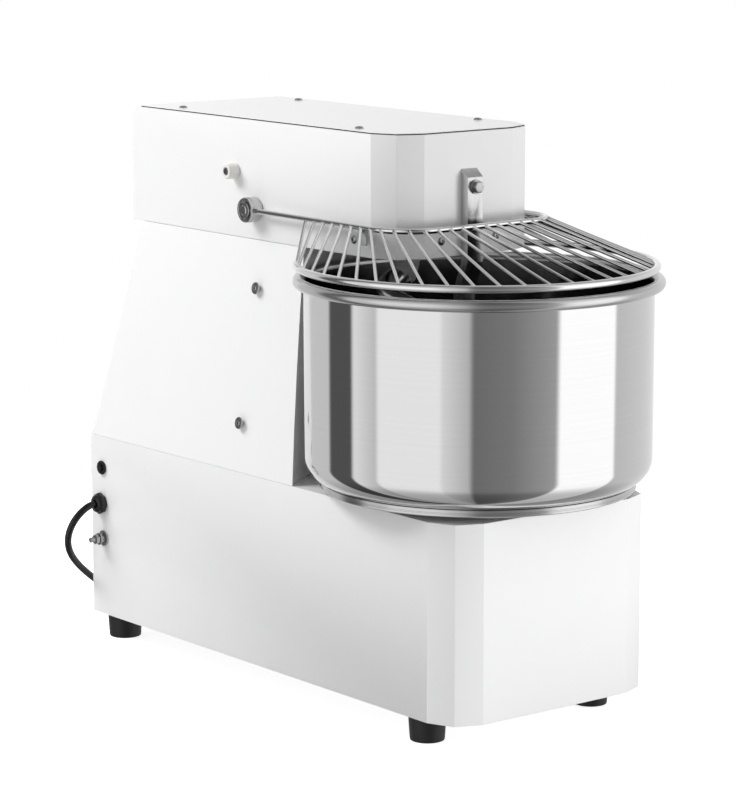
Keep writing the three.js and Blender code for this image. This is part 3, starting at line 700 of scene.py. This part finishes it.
def make_bowl():
    bm = turned(bmesh.new(), bowl_profile(), BOWL_AXIS, BOWL_SEGMENTS)
    piece = add_piece("bowl_spun", bm, bowl_steel, "bowl_steel", "bowl", "bowl")
    # The inside faces get the darker copy of the steel: painted shade for the hollow.
    piece.data.materials.append(inner_steel_painted_shade)
    piece.data.materials.append(rim_steel)
    centre = BOWL_AXIS.translation
    for face in piece.data.polygons:
        middle = face.center
        out = Vector((middle.x - centre.x, middle.y - centre.y, 0))
        faces_in = face.normal.dot(out) < 0 or face.normal.z > 0.9
        if middle.z > RIM_HEIGHT - RIM_TUBE:
            face.material_index = 2
        elif faces_in and out.length < WALL_RADIUS - WALL / 2:
            face.material_index = 1
    return piece


make_bowl()

# %% [markdown]
# The bowl doesn't stand on the base. It sits in a shallow turned dish that the drive shaft carries, and only
# the dish's edge shows, as a bright line with a fine groove. It is turned like the bowl.
# %% Turntable: a shallow dish whose lip hides the bowl's foot
DISH_WALL = 1.5 * MM
DISH_GAP = 0.3 * MM


def make_turntable():
    low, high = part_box("turntable")
    radius = (high.x - low.x) / 2
    inner = radius - DISH_WALL
    floor = bowl_low.z - DISH_GAP
    underside = [(0, 0), (40, 0), (40, 1), (150, 1), (150, 0)]
    profile = [(r * MM, low.z + h * MM) for r, h in underside]
    profile += [
        (radius - 0.8 * MM, low.z), (radius, low.z + 0.8 * MM), (radius, low.z + 2.6 * MM),
        (radius - 0.5 * MM, low.z + 3.1 * MM), (radius - 0.5 * MM, low.z + 3.9 * MM),
        (radius, low.z + 4.4 * MM), (radius, high.z - 0.6 * MM), (radius - 0.5 * MM, high.z),
        (inner + 0.3 * MM, high.z), (inner, high.z - 0.4 * MM), (inner, floor), (0, floor),
    ]
    bm = turned(bmesh.new(), profile, BOWL_AXIS, BOWL_SEGMENTS)
    return add_piece("turntable_dish", bm, rim_steel, "bowl_steel", "bowl", "turntable")


make_turntable()

# %% [markdown]
# ## The spiral hook
# A 24 mm steel bar leaves a turned cone under the head and winds down round the shaft's axis. It is forged,
# so the section stays round. It could be a curve object, but a swept mesh lets the end taper.
# %% Hook and cone
spiral_low, spiral_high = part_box("spiral_shaft")
SPIRAL_AXIS = Vector(((spiral_low.x + spiral_high.x) / 2, (spiral_low.y + spiral_high.y) / 2, 0))
HOOK_BAR = 12 * MM  # the bar's radius
HOOK_TOP = 0.452
HOOK_FOOT = 0.273
HOOK_SWEEP, HOOK_FOOT_SWEEP = 0.043, 0.036
HOOK_TURNS = 1.33
HOOK_START = 153
CONE_RADIUS, CONE_TOP = 17.5 * MM, 0.4802
HOOK_LEAVE = 75  # degrees over which the bar leaves the axis
HOOK_STEPS = 110


def hook_point(share):
    turn = 360 * HOOK_TURNS * share
    angle = math.radians(HOOK_START + turn)
    reach = HOOK_SWEEP + (HOOK_FOOT_SWEEP - HOOK_SWEEP) * share
    radius = reach * math.sin(math.radians(90 * min(1, turn / HOOK_LEAVE)))
    height = HOOK_TOP + (HOOK_FOOT - HOOK_TOP) * share
    return SPIRAL_AXIS + Vector((radius * math.cos(angle), radius * math.sin(angle), height))


def make_hook():
    points = [hook_point(i / HOOK_STEPS) for i in range(HOOK_STEPS + 1)]
    end = (points[-1] - points[-2]).normalized()
    radii = [HOOK_BAR] * len(points)
    for angle in (20, 40, 60, 75, 88):
        points.append(points[HOOK_STEPS] + end * HOOK_BAR * math.sin(math.radians(angle)))
        radii.append(HOOK_BAR * math.cos(math.radians(angle)))
    bm = bmesh.new()
    swept(bm, points, radii, 28)
    return add_piece("hook_forged", bm, bar_steel, "bowl_steel", "spiral", "spiral_hook", sharp=ROD_SHARP)


def make_cone():
    elbow = arc(0, HOOK_TOP, HOOK_BAR, -90, 0, 8)
    profile = [
        (0, HOOK_TOP - HOOK_BAR), *elbow[1:], (CONE_RADIUS, CONE_TOP - 4 * MM),
        (CONE_RADIUS, CONE_TOP - 0.8 * MM), (CONE_RADIUS - 0.8 * MM, CONE_TOP), (0, CONE_TOP),
    ]
    bm = turned(bmesh.new(), profile, Matrix.Translation(SPIRAL_AXIS), 72)
    return add_piece("hook_cone", bm, cone_steel_painted_light, "bowl_steel", "spiral", "spiral_hook")


make_hook()
make_cone()

# %% [markdown]
# ## Breaker bar
# A flat bar bolted to the front of the head, set back by a joggle and reaching down beside the hook. The
# dough is torn against it. Its edges are only broken with a file, so it gets a small bevel.
# %% Bar and bolt
folded("breaker_forged", "breaker_bar", bar_steel, "bowl_steel", "frame", 0.8 * MM)


def make_bolt():
    low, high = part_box("breaker_bolt")
    where = Matrix.Translation(((low.x + high.x) / 2, high.y, (low.z + high.z) / 2)) @ TO_FRONT
    reach = high.y - low.y
    bm = bmesh.new()
    turned(bm, [(0, 4 * MM), (4 * MM, 4 * MM), (4 * MM, reach - 8 * MM), (0, reach - 8 * MM)], where, 32)
    washer = reach - 6.7 * MM
    ring = [(0, 0), (7.1, 0), (7.5, 0.3), (7.5, 1.3), (7.1, 1.6), (0, 1.6)]
    turned(bm, [(r * MM, washer + h * MM) for r, h in ring], where, 48)
    head = washer + 1.6 * MM
    turned(bm, [(0, head), (6.3 * MM, head), (6.5 * MM, head + 0.4 * MM), (6.5 * MM, reach - 1.2 * MM),
                (5.6 * MM, reach - 0.3 * MM), (4.4 * MM, reach), (0, reach)], where, 6)
    turned(bm, [(0, 0), (7.2 * MM, 0), (7.2 * MM, 5.5 * MM), (0, 5.5 * MM)], where, 6)
    return add_piece("breaker_bolt_set", bm, zinc_steel, "zinc_steel", "frame", "breaker_bolt")


make_bolt()

# %% [markdown]
# ## The wire guard
# A heavy ring just over the bowl's rim, a bent upper wire and a fan of thin spokes welded between them. Each
# rod is swept on its own, and each spoke flares where its weld runs into the heavier rods.
# %% Lines of the ring and the upper wire
guard_low, guard_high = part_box("guard_frame")
hub_low, hub_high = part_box("guard_hub_l")
PIVOT = Vector((0, (hub_low.y + hub_high.y) / 2, (hub_low.z + hub_high.z) / 2))
RING_ROD, UPPER_ROD, SPOKE_ROD = 4 * MM, 3 * MM, 1.75 * MM
RING_RADIUS = (guard_high.x - guard_low.x) / 2 - RING_ROD
RING_MIDDLE = Vector((0, guard_low.y + RING_ROD + RING_RADIUS, guard_low.z + RING_ROD))
RING_REACH = 129
UPPER_HALF = 108 * MM
UPPER_FRONT = -8.5 * MM + BACK.y
UPPER_CORNER = 45 * MM
SPOKES = 33
SPOKE_LAST = 0.153 + BACK.y
RING_STEPS, WIRE_STEPS = 150, 180
RING_OVERLAP = 0.8  # degrees of ring left past the last spoke
# How far along a spoke, and its thickness there: the ends flare into their welds.
WELD_FLARE = [
    (0.0, 1.75), (0.012, 1.55), (0.03, 1.12), (0.06, 1.0),
    (0.94, 1.0), (0.97, 1.12), (0.988, 1.5), (1.0, 1.7),
]


def ring_point(degrees):
    angle = math.radians(degrees)
    return RING_MIDDLE + Vector((math.sin(angle), -math.cos(angle), 0)) * RING_RADIUS


def upper_point(distance):
    side = -1 if distance < 0 else 1
    along = abs(distance)
    straight = UPPER_HALF - UPPER_CORNER
    bend = UPPER_CORNER * math.pi / 2
    if along <= straight:
        return Vector((side * along, UPPER_FRONT, PIVOT.z))
    if along <= straight + bend:
        angle = (along - straight) / UPPER_CORNER
        x = straight + UPPER_CORNER * math.sin(angle)
        return Vector((side * x, UPPER_FRONT + UPPER_CORNER * (1 - math.cos(angle)), PIVOT.z))
    return Vector((side * UPPER_HALF, UPPER_FRONT + UPPER_CORNER + along - straight - bend, PIVOT.z))


def upper_length(y):
    return UPPER_HALF - 2 * UPPER_CORNER + UPPER_CORNER * math.pi / 2 + y - UPPER_FRONT


print("guard ring radius in millimetres:", round(RING_RADIUS / MM, 1))


# %% Rods and spokes
def add_wire(name, bm):
    return add_piece(name, bm, wire_steel, "wire_steel", "guard", "guard_frame", sharp=ROD_SHARP)


def make_ring():
    points = [ring_point(RING_REACH * (2 * i / RING_STEPS - 1)) for i in range(RING_STEPS + 1)]
    bm = swept(bmesh.new(), points, RING_ROD, 20)
    return add_wire("guard_ring", bm)


def make_upper_wire():
    reach = upper_length(guard_high.y)
    points = [upper_point(reach * (2 * i / WIRE_STEPS - 1)) for i in range(WIRE_STEPS + 1)]
    bm = swept(bmesh.new(), points, UPPER_ROD, 18)
    return add_wire("guard_upper_wire", bm)


def make_spokes():
    middle = (SPOKES - 1) / 2
    reach = upper_length(SPOKE_LAST)
    bm = bmesh.new()
    for i in range(SPOKES):
        share = (i - middle) / middle
        foot = ring_point((RING_REACH - RING_OVERLAP) * share)
        top = upper_point(reach * share)
        points = [foot.lerp(top, part) for part, _ in WELD_FLARE]
        swept(bm, points, [SPOKE_ROD * size for _, size in WELD_FLARE], 12)
    return add_wire("guard_spokes", bm)


make_ring()
make_upper_wire()
make_spokes()

# %% [markdown]
# The upper wire ends in two turned hubs that hinge on slotted pivot screws. The slot is the one cut here that
# turning can't make, so it is carved from the screw's head.
# %% Hubs, pivot screws and the tab
HUB_BORE = 5.3 * MM
HUB_DISH = 3.4
SLOT_TURN = math.radians(35)


def pivot_place(side):
    return Matrix.Translation(PIVOT) @ (TO_RIGHT if side > 0 else TO_LEFT)


def reach_of(node):
    """How far from the machine's middle plane a side part starts and ends."""
    low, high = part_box(node)
    return min(abs(low.x), abs(high.x)), max(abs(low.x), abs(high.x))


def make_hub(name, side):
    inner, outer = reach_of(f"guard_hub_{name}")
    radius = (hub_high.z - hub_low.z) / 2
    where = pivot_place(side)
    # How far in from the rim and from the outer face each corner of the turned groove and dish lies.
    rim = [
        (0, 4.4), (0.5, 4), (0.5, 3), (0, 2.6), (0, 0.8), (0.8, 0), (2.2, 0), (2.8, 0.6), (2.8, HUB_DISH),
    ]
    profile = [(HUB_BORE, inner), (radius - 0.6 * MM, inner), (radius, inner + 0.6 * MM)]
    profile += [(radius - inward * MM, outer - depth * MM) for inward, depth in rim]
    profile.append((HUB_BORE, outer - HUB_DISH * MM))
    bm = turned(bmesh.new(), profile, where, 72)
    boss = Vector((side * UPPER_HALF, guard_high.y, PIVOT.z))
    swept(bm, [boss, boss + Vector((0, 4 * MM, 0))], [4.6 * MM, 5.2 * MM], 20)
    return add_piece(f"guard_hub_turned_{name}", bm, turned_steel, "wire_steel", "guard", f"guard_hub_{name}")


def make_pivot_screw(name, side):
    inner, outer = reach_of(f"guard_pin_{name}")
    where = pivot_place(side)
    # Radius and depth below the outer face, along the screw's head.
    head = [
        (5, 4.4), (8.6, 4.4), (8.8, 4.2), (8.8, 1.6), (8.2, 1), (6.9, 1), (6.5, 2.4), (5.7, 2.4), (5.5, 0.6),
        (4.6, 0), (0, 0),
    ]
    profile = [(0, inner), (5 * MM, inner)] + [(r * MM, outer - depth * MM) for r, depth in head]
    bm = turned(bmesh.new(), profile, where, 60)
    slot = where @ Matrix.Rotation(SLOT_TURN, 4, "Z")
    bm = carve(bm, slot_tool(slot, 12 * MM, 1.6 * MM, outer - 1.6 * MM, outer + 1 * MM))
    if side < 0:  # the cam that works the switch inside the head
        turned_mm(bm, [(0, 80), (14, 80), (14, 86), (0, 86)], where, 48)
    return add_piece(f"guard_pivot_{name}", bm, turned_steel, "zinc_steel", "guard", f"guard_pin_{name}")


for label, hand in (("l", -1), ("r", 1)):
    make_hub(label, hand)
    make_pivot_screw(label, hand)
folded("guard_tab_plate", "guard_tab", grey_moulding, "grey_plastic", "guard", 0.5 * MM, 25)

# %% [markdown]
# ## Screws, stop and small fittings
# Small fasteners are what the eye checks first. Each kind is turned from its own profile, and a loop puts
# the copies where the frame has them.
# %% Guard stop: a nylon bush with its screw sunk in it
def make_stop():
    low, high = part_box("guard_stop")
    middle = (low + high) / 2
    where = Matrix.Translation((0, middle.y, middle.z)) @ TO_LEFT
    inner, outer = -high.x, -low.x
    radius = (high.z - low.z) / 2
    bush = [(3.3 * MM, inner), (radius - 0.4 * MM, inner), (radius, inner + 0.4 * MM)]
    rim = [(0, 2.4), (0.5, 2), (0.6, 0.7), (1.3, 0)]
    bush += [(radius - inward * MM, outer - depth * MM) for inward, depth in rim]
    well = [(4.6, 0), (4.2, 0.5), (4.2, 2), (3.3, 2)]
    bush += [(r * MM, outer - depth * MM) for r, depth in well]
    add_piece("stop_bush", turned(bmesh.new(), bush, where, 56), white_nylon, "nylon", "frame", "guard_stop")
    low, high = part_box("guard_stop_screw")
    head = [(3, 1.8), (3.9, 1.8), (3.9, -0.1), (3.5, -0.5), (2, -0.5), (2, 1.5), (0, 1.5)]
    screw = [(0, -high.x), (3 * MM, -high.x)] + [(r * MM, outer - depth * MM) for r, depth in head]
    bm = turned(bmesh.new(), screw, where, 32)
    add_piece("stop_screw", bm, zinc_steel, "zinc_steel", "frame", "guard_stop_screw")


make_stop()

# %% [markdown]
# The column's screws have a flange under the head, and the lid's are low and round. Two profiles and one
# helper make all twelve.
# %% Flanged screws on the column, pan screws on the lid and the head
FLANGED = [
    (0, -10), (3.4, -10), (3.4, 3.6), (6.1, 3.8), (6.5, 4.2), (6.5, 5), (6, 5.4), (4.2, 5.5), (3.9, 5),
    (3.3, 5), (3.1, 6), (1.9, 6.3), (1.9, 5.1), (0, 5.1),
]
PAN = [
    (0, -8), (1.9, -8), (1.9, 0), (4.5, 0), (4.45, 0.7), (3.7, 1.5), (2.2, 2), (1.5, 2), (1.3, 1), (0, 1),
]


def make_screw(name, profile, where, *stands_for):
    bm = turned_mm(bmesh.new(), profile, where, 40)
    return add_piece(name, bm, zinc_steel, "zinc_steel", "frame", *stands_for)


head_low, head_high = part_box("head_shell")
_, base_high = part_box("base_shell")
LEAN = math.atan((base_high.x - head_high.x) / (head_low.z - base_high.z))
for label, hand in (("l", -1), ("r", 1)):
    for row in (1, 2):
        node = f"column_screw_{label}{row}"
        low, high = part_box(node)
        height = (low.z + high.z) / 2
        x = hand * (base_high.x - math.tan(LEAN) * (height - base_high.z))
        where = Matrix.Translation((x, (low.y + high.y) / 2, height))
        tilt = Matrix.Rotation(hand * (math.pi / 2 - LEAN), 4, "Y")
        make_screw(f"column_fixing_{label}{row}", FLANGED, where @ tilt, node)

for count in range(1, 5):
    node = f"lid_screw_{count}"
    low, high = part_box(node)
    where = Matrix.Translation(((low.x + high.x) / 2, (low.y + high.y) / 2, high.z - 2 * MM))
    make_screw(f"lid_fixing_{count}", PAN, where, node)

LOW_ROW = head_low.z + 17 * MM
SIDE_SCREW_BACK = 67 * MM
FRONT_SCREW_HALF = 36.5 * MM
for label, hand, turn in (("l", -1, TO_LEFT), ("r", 1, TO_RIGHT)):
    side = Matrix.Translation((hand * head_high.x, head_low.y + SIDE_SCREW_BACK, LOW_ROW))
    make_screw(f"head_side_screw_{label}", PAN, side @ turn)
    front = Matrix.Translation((hand * FRONT_SCREW_HALF, head_low.y, LOW_ROW))
    make_screw(f"head_front_screw_{label}", PAN, front @ TO_FRONT)

# %% [markdown]
# The feet are moulded rubber cones with a thin collar under the base. They are black and dull, so their round
# lower edge matters more than their colour.
# %% Rubber feet
def make_foot(label):
    low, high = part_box(f"foot_{label}")
    where = Matrix.Translation(((low.x + high.x) / 2, (low.y + high.y) / 2, 0))
    foot = [(0, 14), (7, 14), (7, 0.8), (7.8, 0), (17, 0), (17.7, 0.3), (18.1, 1.4)]
    collar = [(19.5, -5), (19.5, -3.4), (20, -3), (20, -0.5), (19.5, 0), (0, 0)]
    profile = [(r * MM, h * MM) for r, h in foot] + [(r * MM, high.z + h * MM) for r, h in collar]
    bm = turned(bmesh.new(), profile, where, 56)
    return add_piece(f"foot_moulded_{label}", bm, black_rubber, "rubber", "frame", f"foot_{label}")


for label in ("fl", "fr", "rl", "rr"):
    make_foot(label)

# %% [markdown]
# Low on the left side sit an eight-sided cable gland, a small reset button in its ring and a threaded stud
# for an earth wire. All three lie on axes across the machine, so one helper finds each place.
# %% Cable gland, reset button and bonding terminal
def side_place(node):
    low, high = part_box(node)
    return Matrix.Translation((0, (low.y + high.y) / 2, (low.z + high.z) / 2)) @ TO_LEFT


def make_gland():
    where = side_place("cable_gland")
    bm = bmesh.new()
    nut = [
        (4.4, 126), (7.5, 126), (7.5, 138.3), (11.6, 138.3), (12.4, 139), (12.4, 142.6), (11.4, 143.4),
        (4.4, 143.4),
    ]
    dome = [(4.4, 143.2), (10.4, 143.2), (10.2, 145), (9.4, 146.6), (7.6, 147.8), (5, 148), (4.4, 147.4)]
    turned_mm(bm, nut, where, 8)
    turned_mm(bm, dome, where, 48)
    return add_piece("gland_moulded", bm, black_moulding, "black_plastic", "frame", "cable_gland")


def make_reset():
    where = side_place("reset_bezel")
    bezel = [
        (4.4, 128), (6, 128), (6, 138.3), (7.6, 138.3), (8, 138.8), (8, 140), (7.2, 141), (5.2, 141),
        (4.4, 140.4),
    ]
    button = [(0, 130), (4, 130), (4, 142.2), (3.6, 142.8), (2.6, 143), (0, 142.7)]
    bm = turned_mm(bmesh.new(), bezel, where, 48)
    add_piece("reset_ring", bm, black_moulding, "black_plastic", "frame", "reset_bezel")
    bm = turned_mm(bmesh.new(), button, where, 40)
    add_piece("reset_cap", bm, black_moulding, "black_plastic", "reset_button", "reset_button")


THREADS, PITCH = 18, 1.5
# Washers and nuts on the stud: radius, start, end and number of sides.
STACK = [(9, 138.3, 139.8, 48), (5.8, 139.9, 144.7, 6), (7, 144.8, 146.1, 40), (5.8, 146.2, 151, 6)]


def make_terminal():
    where = side_place("bonding_terminal")
    bm = bmesh.new()
    thread = [(0, 130)]
    for i in range(THREADS):
        h = 130.4 + i * PITCH
        thread += [(2.6, h), (3, h + 0.4), (3, h + 0.8), (2.6, h + 1.2)]
    turned_mm(bm, thread + [(2.2, 157.6), (0, 158)], where, 24)
    for radius, low, high, sides in STACK:
        rounded = [
            (0, low), (radius - 0.4, low), (radius, low + 0.4), (radius, high - 0.4), (radius - 0.4, high),
            (0, high),
        ]
        turned_mm(bm, rounded, where, sides)
    return add_piece("bonding_stud", bm, zinc_steel, "zinc_steel", "frame", "bonding_terminal")


make_gland()
make_reset()
make_terminal()

# %% [markdown]
# The start and stop buttons are shallow cups with a rounded rim, one green and one red, on a grey plate. Each
# rides on its own body, because it moves when it is pressed.
# %% Control plate and push buttons
def make_button(name, finish, slot):
    low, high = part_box(name)
    where = Matrix.Translation((0, (low.y + high.y) / 2, (low.z + high.z) / 2)) @ TO_RIGHT
    radius = (high.z - low.z) / 2
    rim = [(0, 1.6), (0.5, 0.5), (1.6, 0), (2.6, 0), (3.4, 0.7)]
    profile = [(0, low.x), (radius, low.x)]
    profile += [(radius - inward * MM, high.x - depth * MM) for inward, depth in rim]
    profile.append((0, high.x - 0.9 * MM))
    bm = turned(bmesh.new(), profile, where, 48)
    return add_piece(f"{name}_cap", bm, finish, slot, name, name)


folded("control_panel", "control_plate", grey_moulding, "grey_plastic", "frame", 0.6 * MM, 30)
make_button("start_button", green_cap, "green_plastic")
make_button("stop_button", red_cap, "red_plastic")

# %% [markdown]
# ## The drive inside
# Chains, wheels, shafts, gearbox and motor are hidden by the housing, and seen only through the vents. Their
# CAD shapes are right, so each keeps its node and only gets a finish.
# %% Finishes for the hidden nodes
INSIDE = {
    "gearbox": cast_alloy, "motor_body": cast_alloy, "motor_fan_cover": black_moulding,
    "bowl_bearing": cast_iron, "spiral_bearing": cast_iron, "bowl_chain": cast_iron, "head_chain": cast_iron,
    "layshaft": turned_steel, "layshaft_sprocket_low": zinc_steel, "layshaft_sprocket_high": zinc_steel,
    "bowl_shaft": turned_steel, "bowl_sprocket": zinc_steel, "spiral_shaft": bar_steel,
    "spiral_sprocket": zinc_steel, "guard_switch": black_moulding,
}
for node, finish in INSIDE.items():
    mesh = frame["nodes"][node].data
    mesh.materials.clear()
    mesh.materials.append(finish)
print("finished", len(INSIDE), "hidden nodes")

# %% [markdown]
# ## Studio
# Polished steel is only as good as what it mirrors. In a studio that is white paper, bright cards and the
# dark room behind the camera. Real cards would do, but a sky that changes with direction does the same
# without hiding anything, and it stays put when the camera moves.
# %% Sky: pale for the eye and for soft light, banded for mirrors
TOWARDS_CAMERA = Vector((towards_camera.x, towards_camera.y, 0)).normalized()
TO_THE_RIGHT = Vector((-TOWARDS_CAMERA.y, TOWARDS_CAMERA.x, 0))
# Height above the horizon as a sine, and how much of the room's light is left there.
HEIGHTS = [(-1, 0.35), (-0.7, 0.5), (-0.45, 0.9), (0.15, 1.0), (0.4, 0.8), (0.7, 0.55), (1, 0.35)]
# Angle round the machine from the camera's side, and how bright the room is there.
ROOM = [
    (-180, 0.95), (-146, 0.75), (-143, 0.69), (-118, 0.69), (-115, 0.1), (-94, 0.1), (-91, 0.94), (-73, 0.66),
    (-70, 1.04), (-27, 1.04), (-25, 0.86), (-8, 0.58), (-5, 0.19), (20, 0.24), (50, 0.42), (53, 1.35),
    (97, 1.35), (100, 0.66), (140, 0.78), (180, 0.95),
]
SOFT_SKY = 0.51


def fill_ramp(ramp, stops):
    while len(ramp.elements) > 1:
        ramp.elements.remove(ramp.elements[-1])
    for i, (position, bright) in enumerate(stops):
        stop = ramp.elements[0] if i == 0 else ramp.elements.new(position)
        stop.position = position
        stop.color = (*grey(bright), 1)


def make_sky():
    world = bpy.data.worlds.new("studio")
    scene.world = world
    world.use_nodes = True
    tree = world.node_tree
    tree.nodes.clear()
    links = tree.links
    place = add(tree, "ShaderNodeTexCoord")
    ahead = add(tree, "ShaderNodeVectorMath", {1: TOWARDS_CAMERA}, operation="DOT_PRODUCT")
    across = add(tree, "ShaderNodeVectorMath", {1: TO_THE_RIGHT}, operation="DOT_PRODUCT")
    angle = add(tree, "ShaderNodeMath", operation="ARCTAN2")
    share = add(tree, "ShaderNodeMapRange", {"From Min": -math.pi, "From Max": math.pi})
    around = add(tree, "ShaderNodeValToRGB")
    fill_ramp(around.color_ramp, [((degrees + 180) / 360, bright) for degrees, bright in ROOM])
    axes = add(tree, "ShaderNodeSeparateXYZ")
    lift = add(tree, "ShaderNodeMapRange", {"From Min": -1})
    upward = add(tree, "ShaderNodeValToRGB")
    fill_ramp(upward.color_ramp, [((sine + 1) / 2, bright) for sine, bright in HEIGHTS])
    room = add(tree, "ShaderNodeMix", {"Factor": 1}, data_type="RGBA", blend_type="MULTIPLY")
    path = add(tree, "ShaderNodeLightPath")
    soft = add(tree, "ShaderNodeMix", {"B": (*grey(SOFT_SKY), 1)}, data_type="RGBA")
    seen = add(tree, "ShaderNodeMix", {"B": (1, 1, 1, 1)}, data_type="RGBA")
    background = add(tree, "ShaderNodeBackground")
    output = add(tree, "ShaderNodeOutputWorld")
    links.new(place.outputs["Generated"], ahead.inputs[0])
    links.new(place.outputs["Generated"], across.inputs[0])
    links.new(across.outputs["Value"], angle.inputs[0])
    links.new(ahead.outputs["Value"], angle.inputs[1])
    links.new(angle.outputs["Value"], share.inputs["Value"])
    links.new(share.outputs["Result"], around.inputs["Fac"])
    links.new(place.outputs["Generated"], axes.inputs["Vector"])
    links.new(axes.outputs["Z"], lift.inputs["Value"])
    links.new(lift.outputs["Result"], upward.inputs["Fac"])
    links.new(around.outputs["Color"], room.inputs["A"])
    links.new(upward.outputs["Color"], room.inputs["B"])
    links.new(room.outputs["Result"], soft.inputs["A"])
    links.new(path.outputs["Is Diffuse Ray"], soft.inputs["Factor"])
    links.new(soft.outputs["Result"], seen.inputs["A"])
    links.new(path.outputs["Is Camera Ray"], seen.inputs["Factor"])
    links.new(seen.outputs["Result"], background.inputs["Color"])
    links.new(background.outputs["Background"], output.inputs["Surface"])
    return world


make_sky()
scene.view_settings.view_transform = "Standard"
print("sky:", len(ROOM), "stops round the room,", len(HEIGHTS), "from floor to ceiling")

# %% [markdown]
# The sky alone lights all sides alike. Three soft boxes add the direction: from above on the left, from
# behind on the left, and low in front.
# %% Soft boxes: they light the paint, but the steel doesn't mirror them
SOFT_AIM = Vector((0, 0, 0.35))
SOFT_SIZE = 0.8


def soft_box(name, where, watts):
    data = bpy.data.lights.new(name, "AREA")
    data.shape = "RECTANGLE"
    data.size = data.size_y = SOFT_SIZE
    data.energy = watts
    box = bpy.data.objects.new(name, data)
    box.location = where
    box.rotation_euler = (SOFT_AIM - Vector(where)).to_track_quat("-Z", "Y").to_euler()
    box.visible_glossy = False
    scene.collection.objects.link(box)
    print(name, "at", where, "-", watts, "W")


soft_box("high left soft box", (-1.5, 0.9, 1.9), 20)
soft_box("rear left soft box", (-1.1, 1.5, 1.8), 19)
soft_box("low front soft box", (0.9, -1.9, 0.25), 19)

# %% [markdown]
# The floor is white paper. It glows for the camera only, so it stays as white as the background and still
# takes the soft shadow under the machine.
# %% Floor: a round sheet of paper a hair below the feet
PAPER = [(0, -0.004), (1.15, -0.004), (1.2, -0.002), (1.15, 0), (0, 0)]
PAPER_DROP = 0.5 * MM


def make_floor():
    bm = turned(bmesh.new(), PAPER, UPRIGHT, 96)
    mesh = bpy.data.meshes.new("floor")
    bm.to_mesh(mesh)
    bm.free()
    paper, shader = new_finish("paper", 0.0, 0.9)
    shader.inputs["Base Color"].default_value = (0.85, 0.85, 0.85, 1)
    shader.inputs["Emission Color"].default_value = (0.82, 0.82, 0.82, 1)
    path = add(paper.node_tree, "ShaderNodeLightPath")
    paper.node_tree.links.new(path.outputs["Is Camera Ray"], shader.inputs["Emission Strength"])
    mesh.materials.append(paper)
    floor = bpy.data.objects.new("floor", mesh)
    floor.location.z = -PAPER_DROP
    floor.visible_glossy = False
    scene.collection.objects.link(floor)
    floor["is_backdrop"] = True


make_floor()
print("floor laid")

# %% [markdown]
# ## Last step
# The last call measures the box round every visible piece and prints its size.
# %% Sizes and finish
bpy.context.view_layer.update()
low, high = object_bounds()
print("visual box in metres:", [round(v, 3) for v in (high - low)])
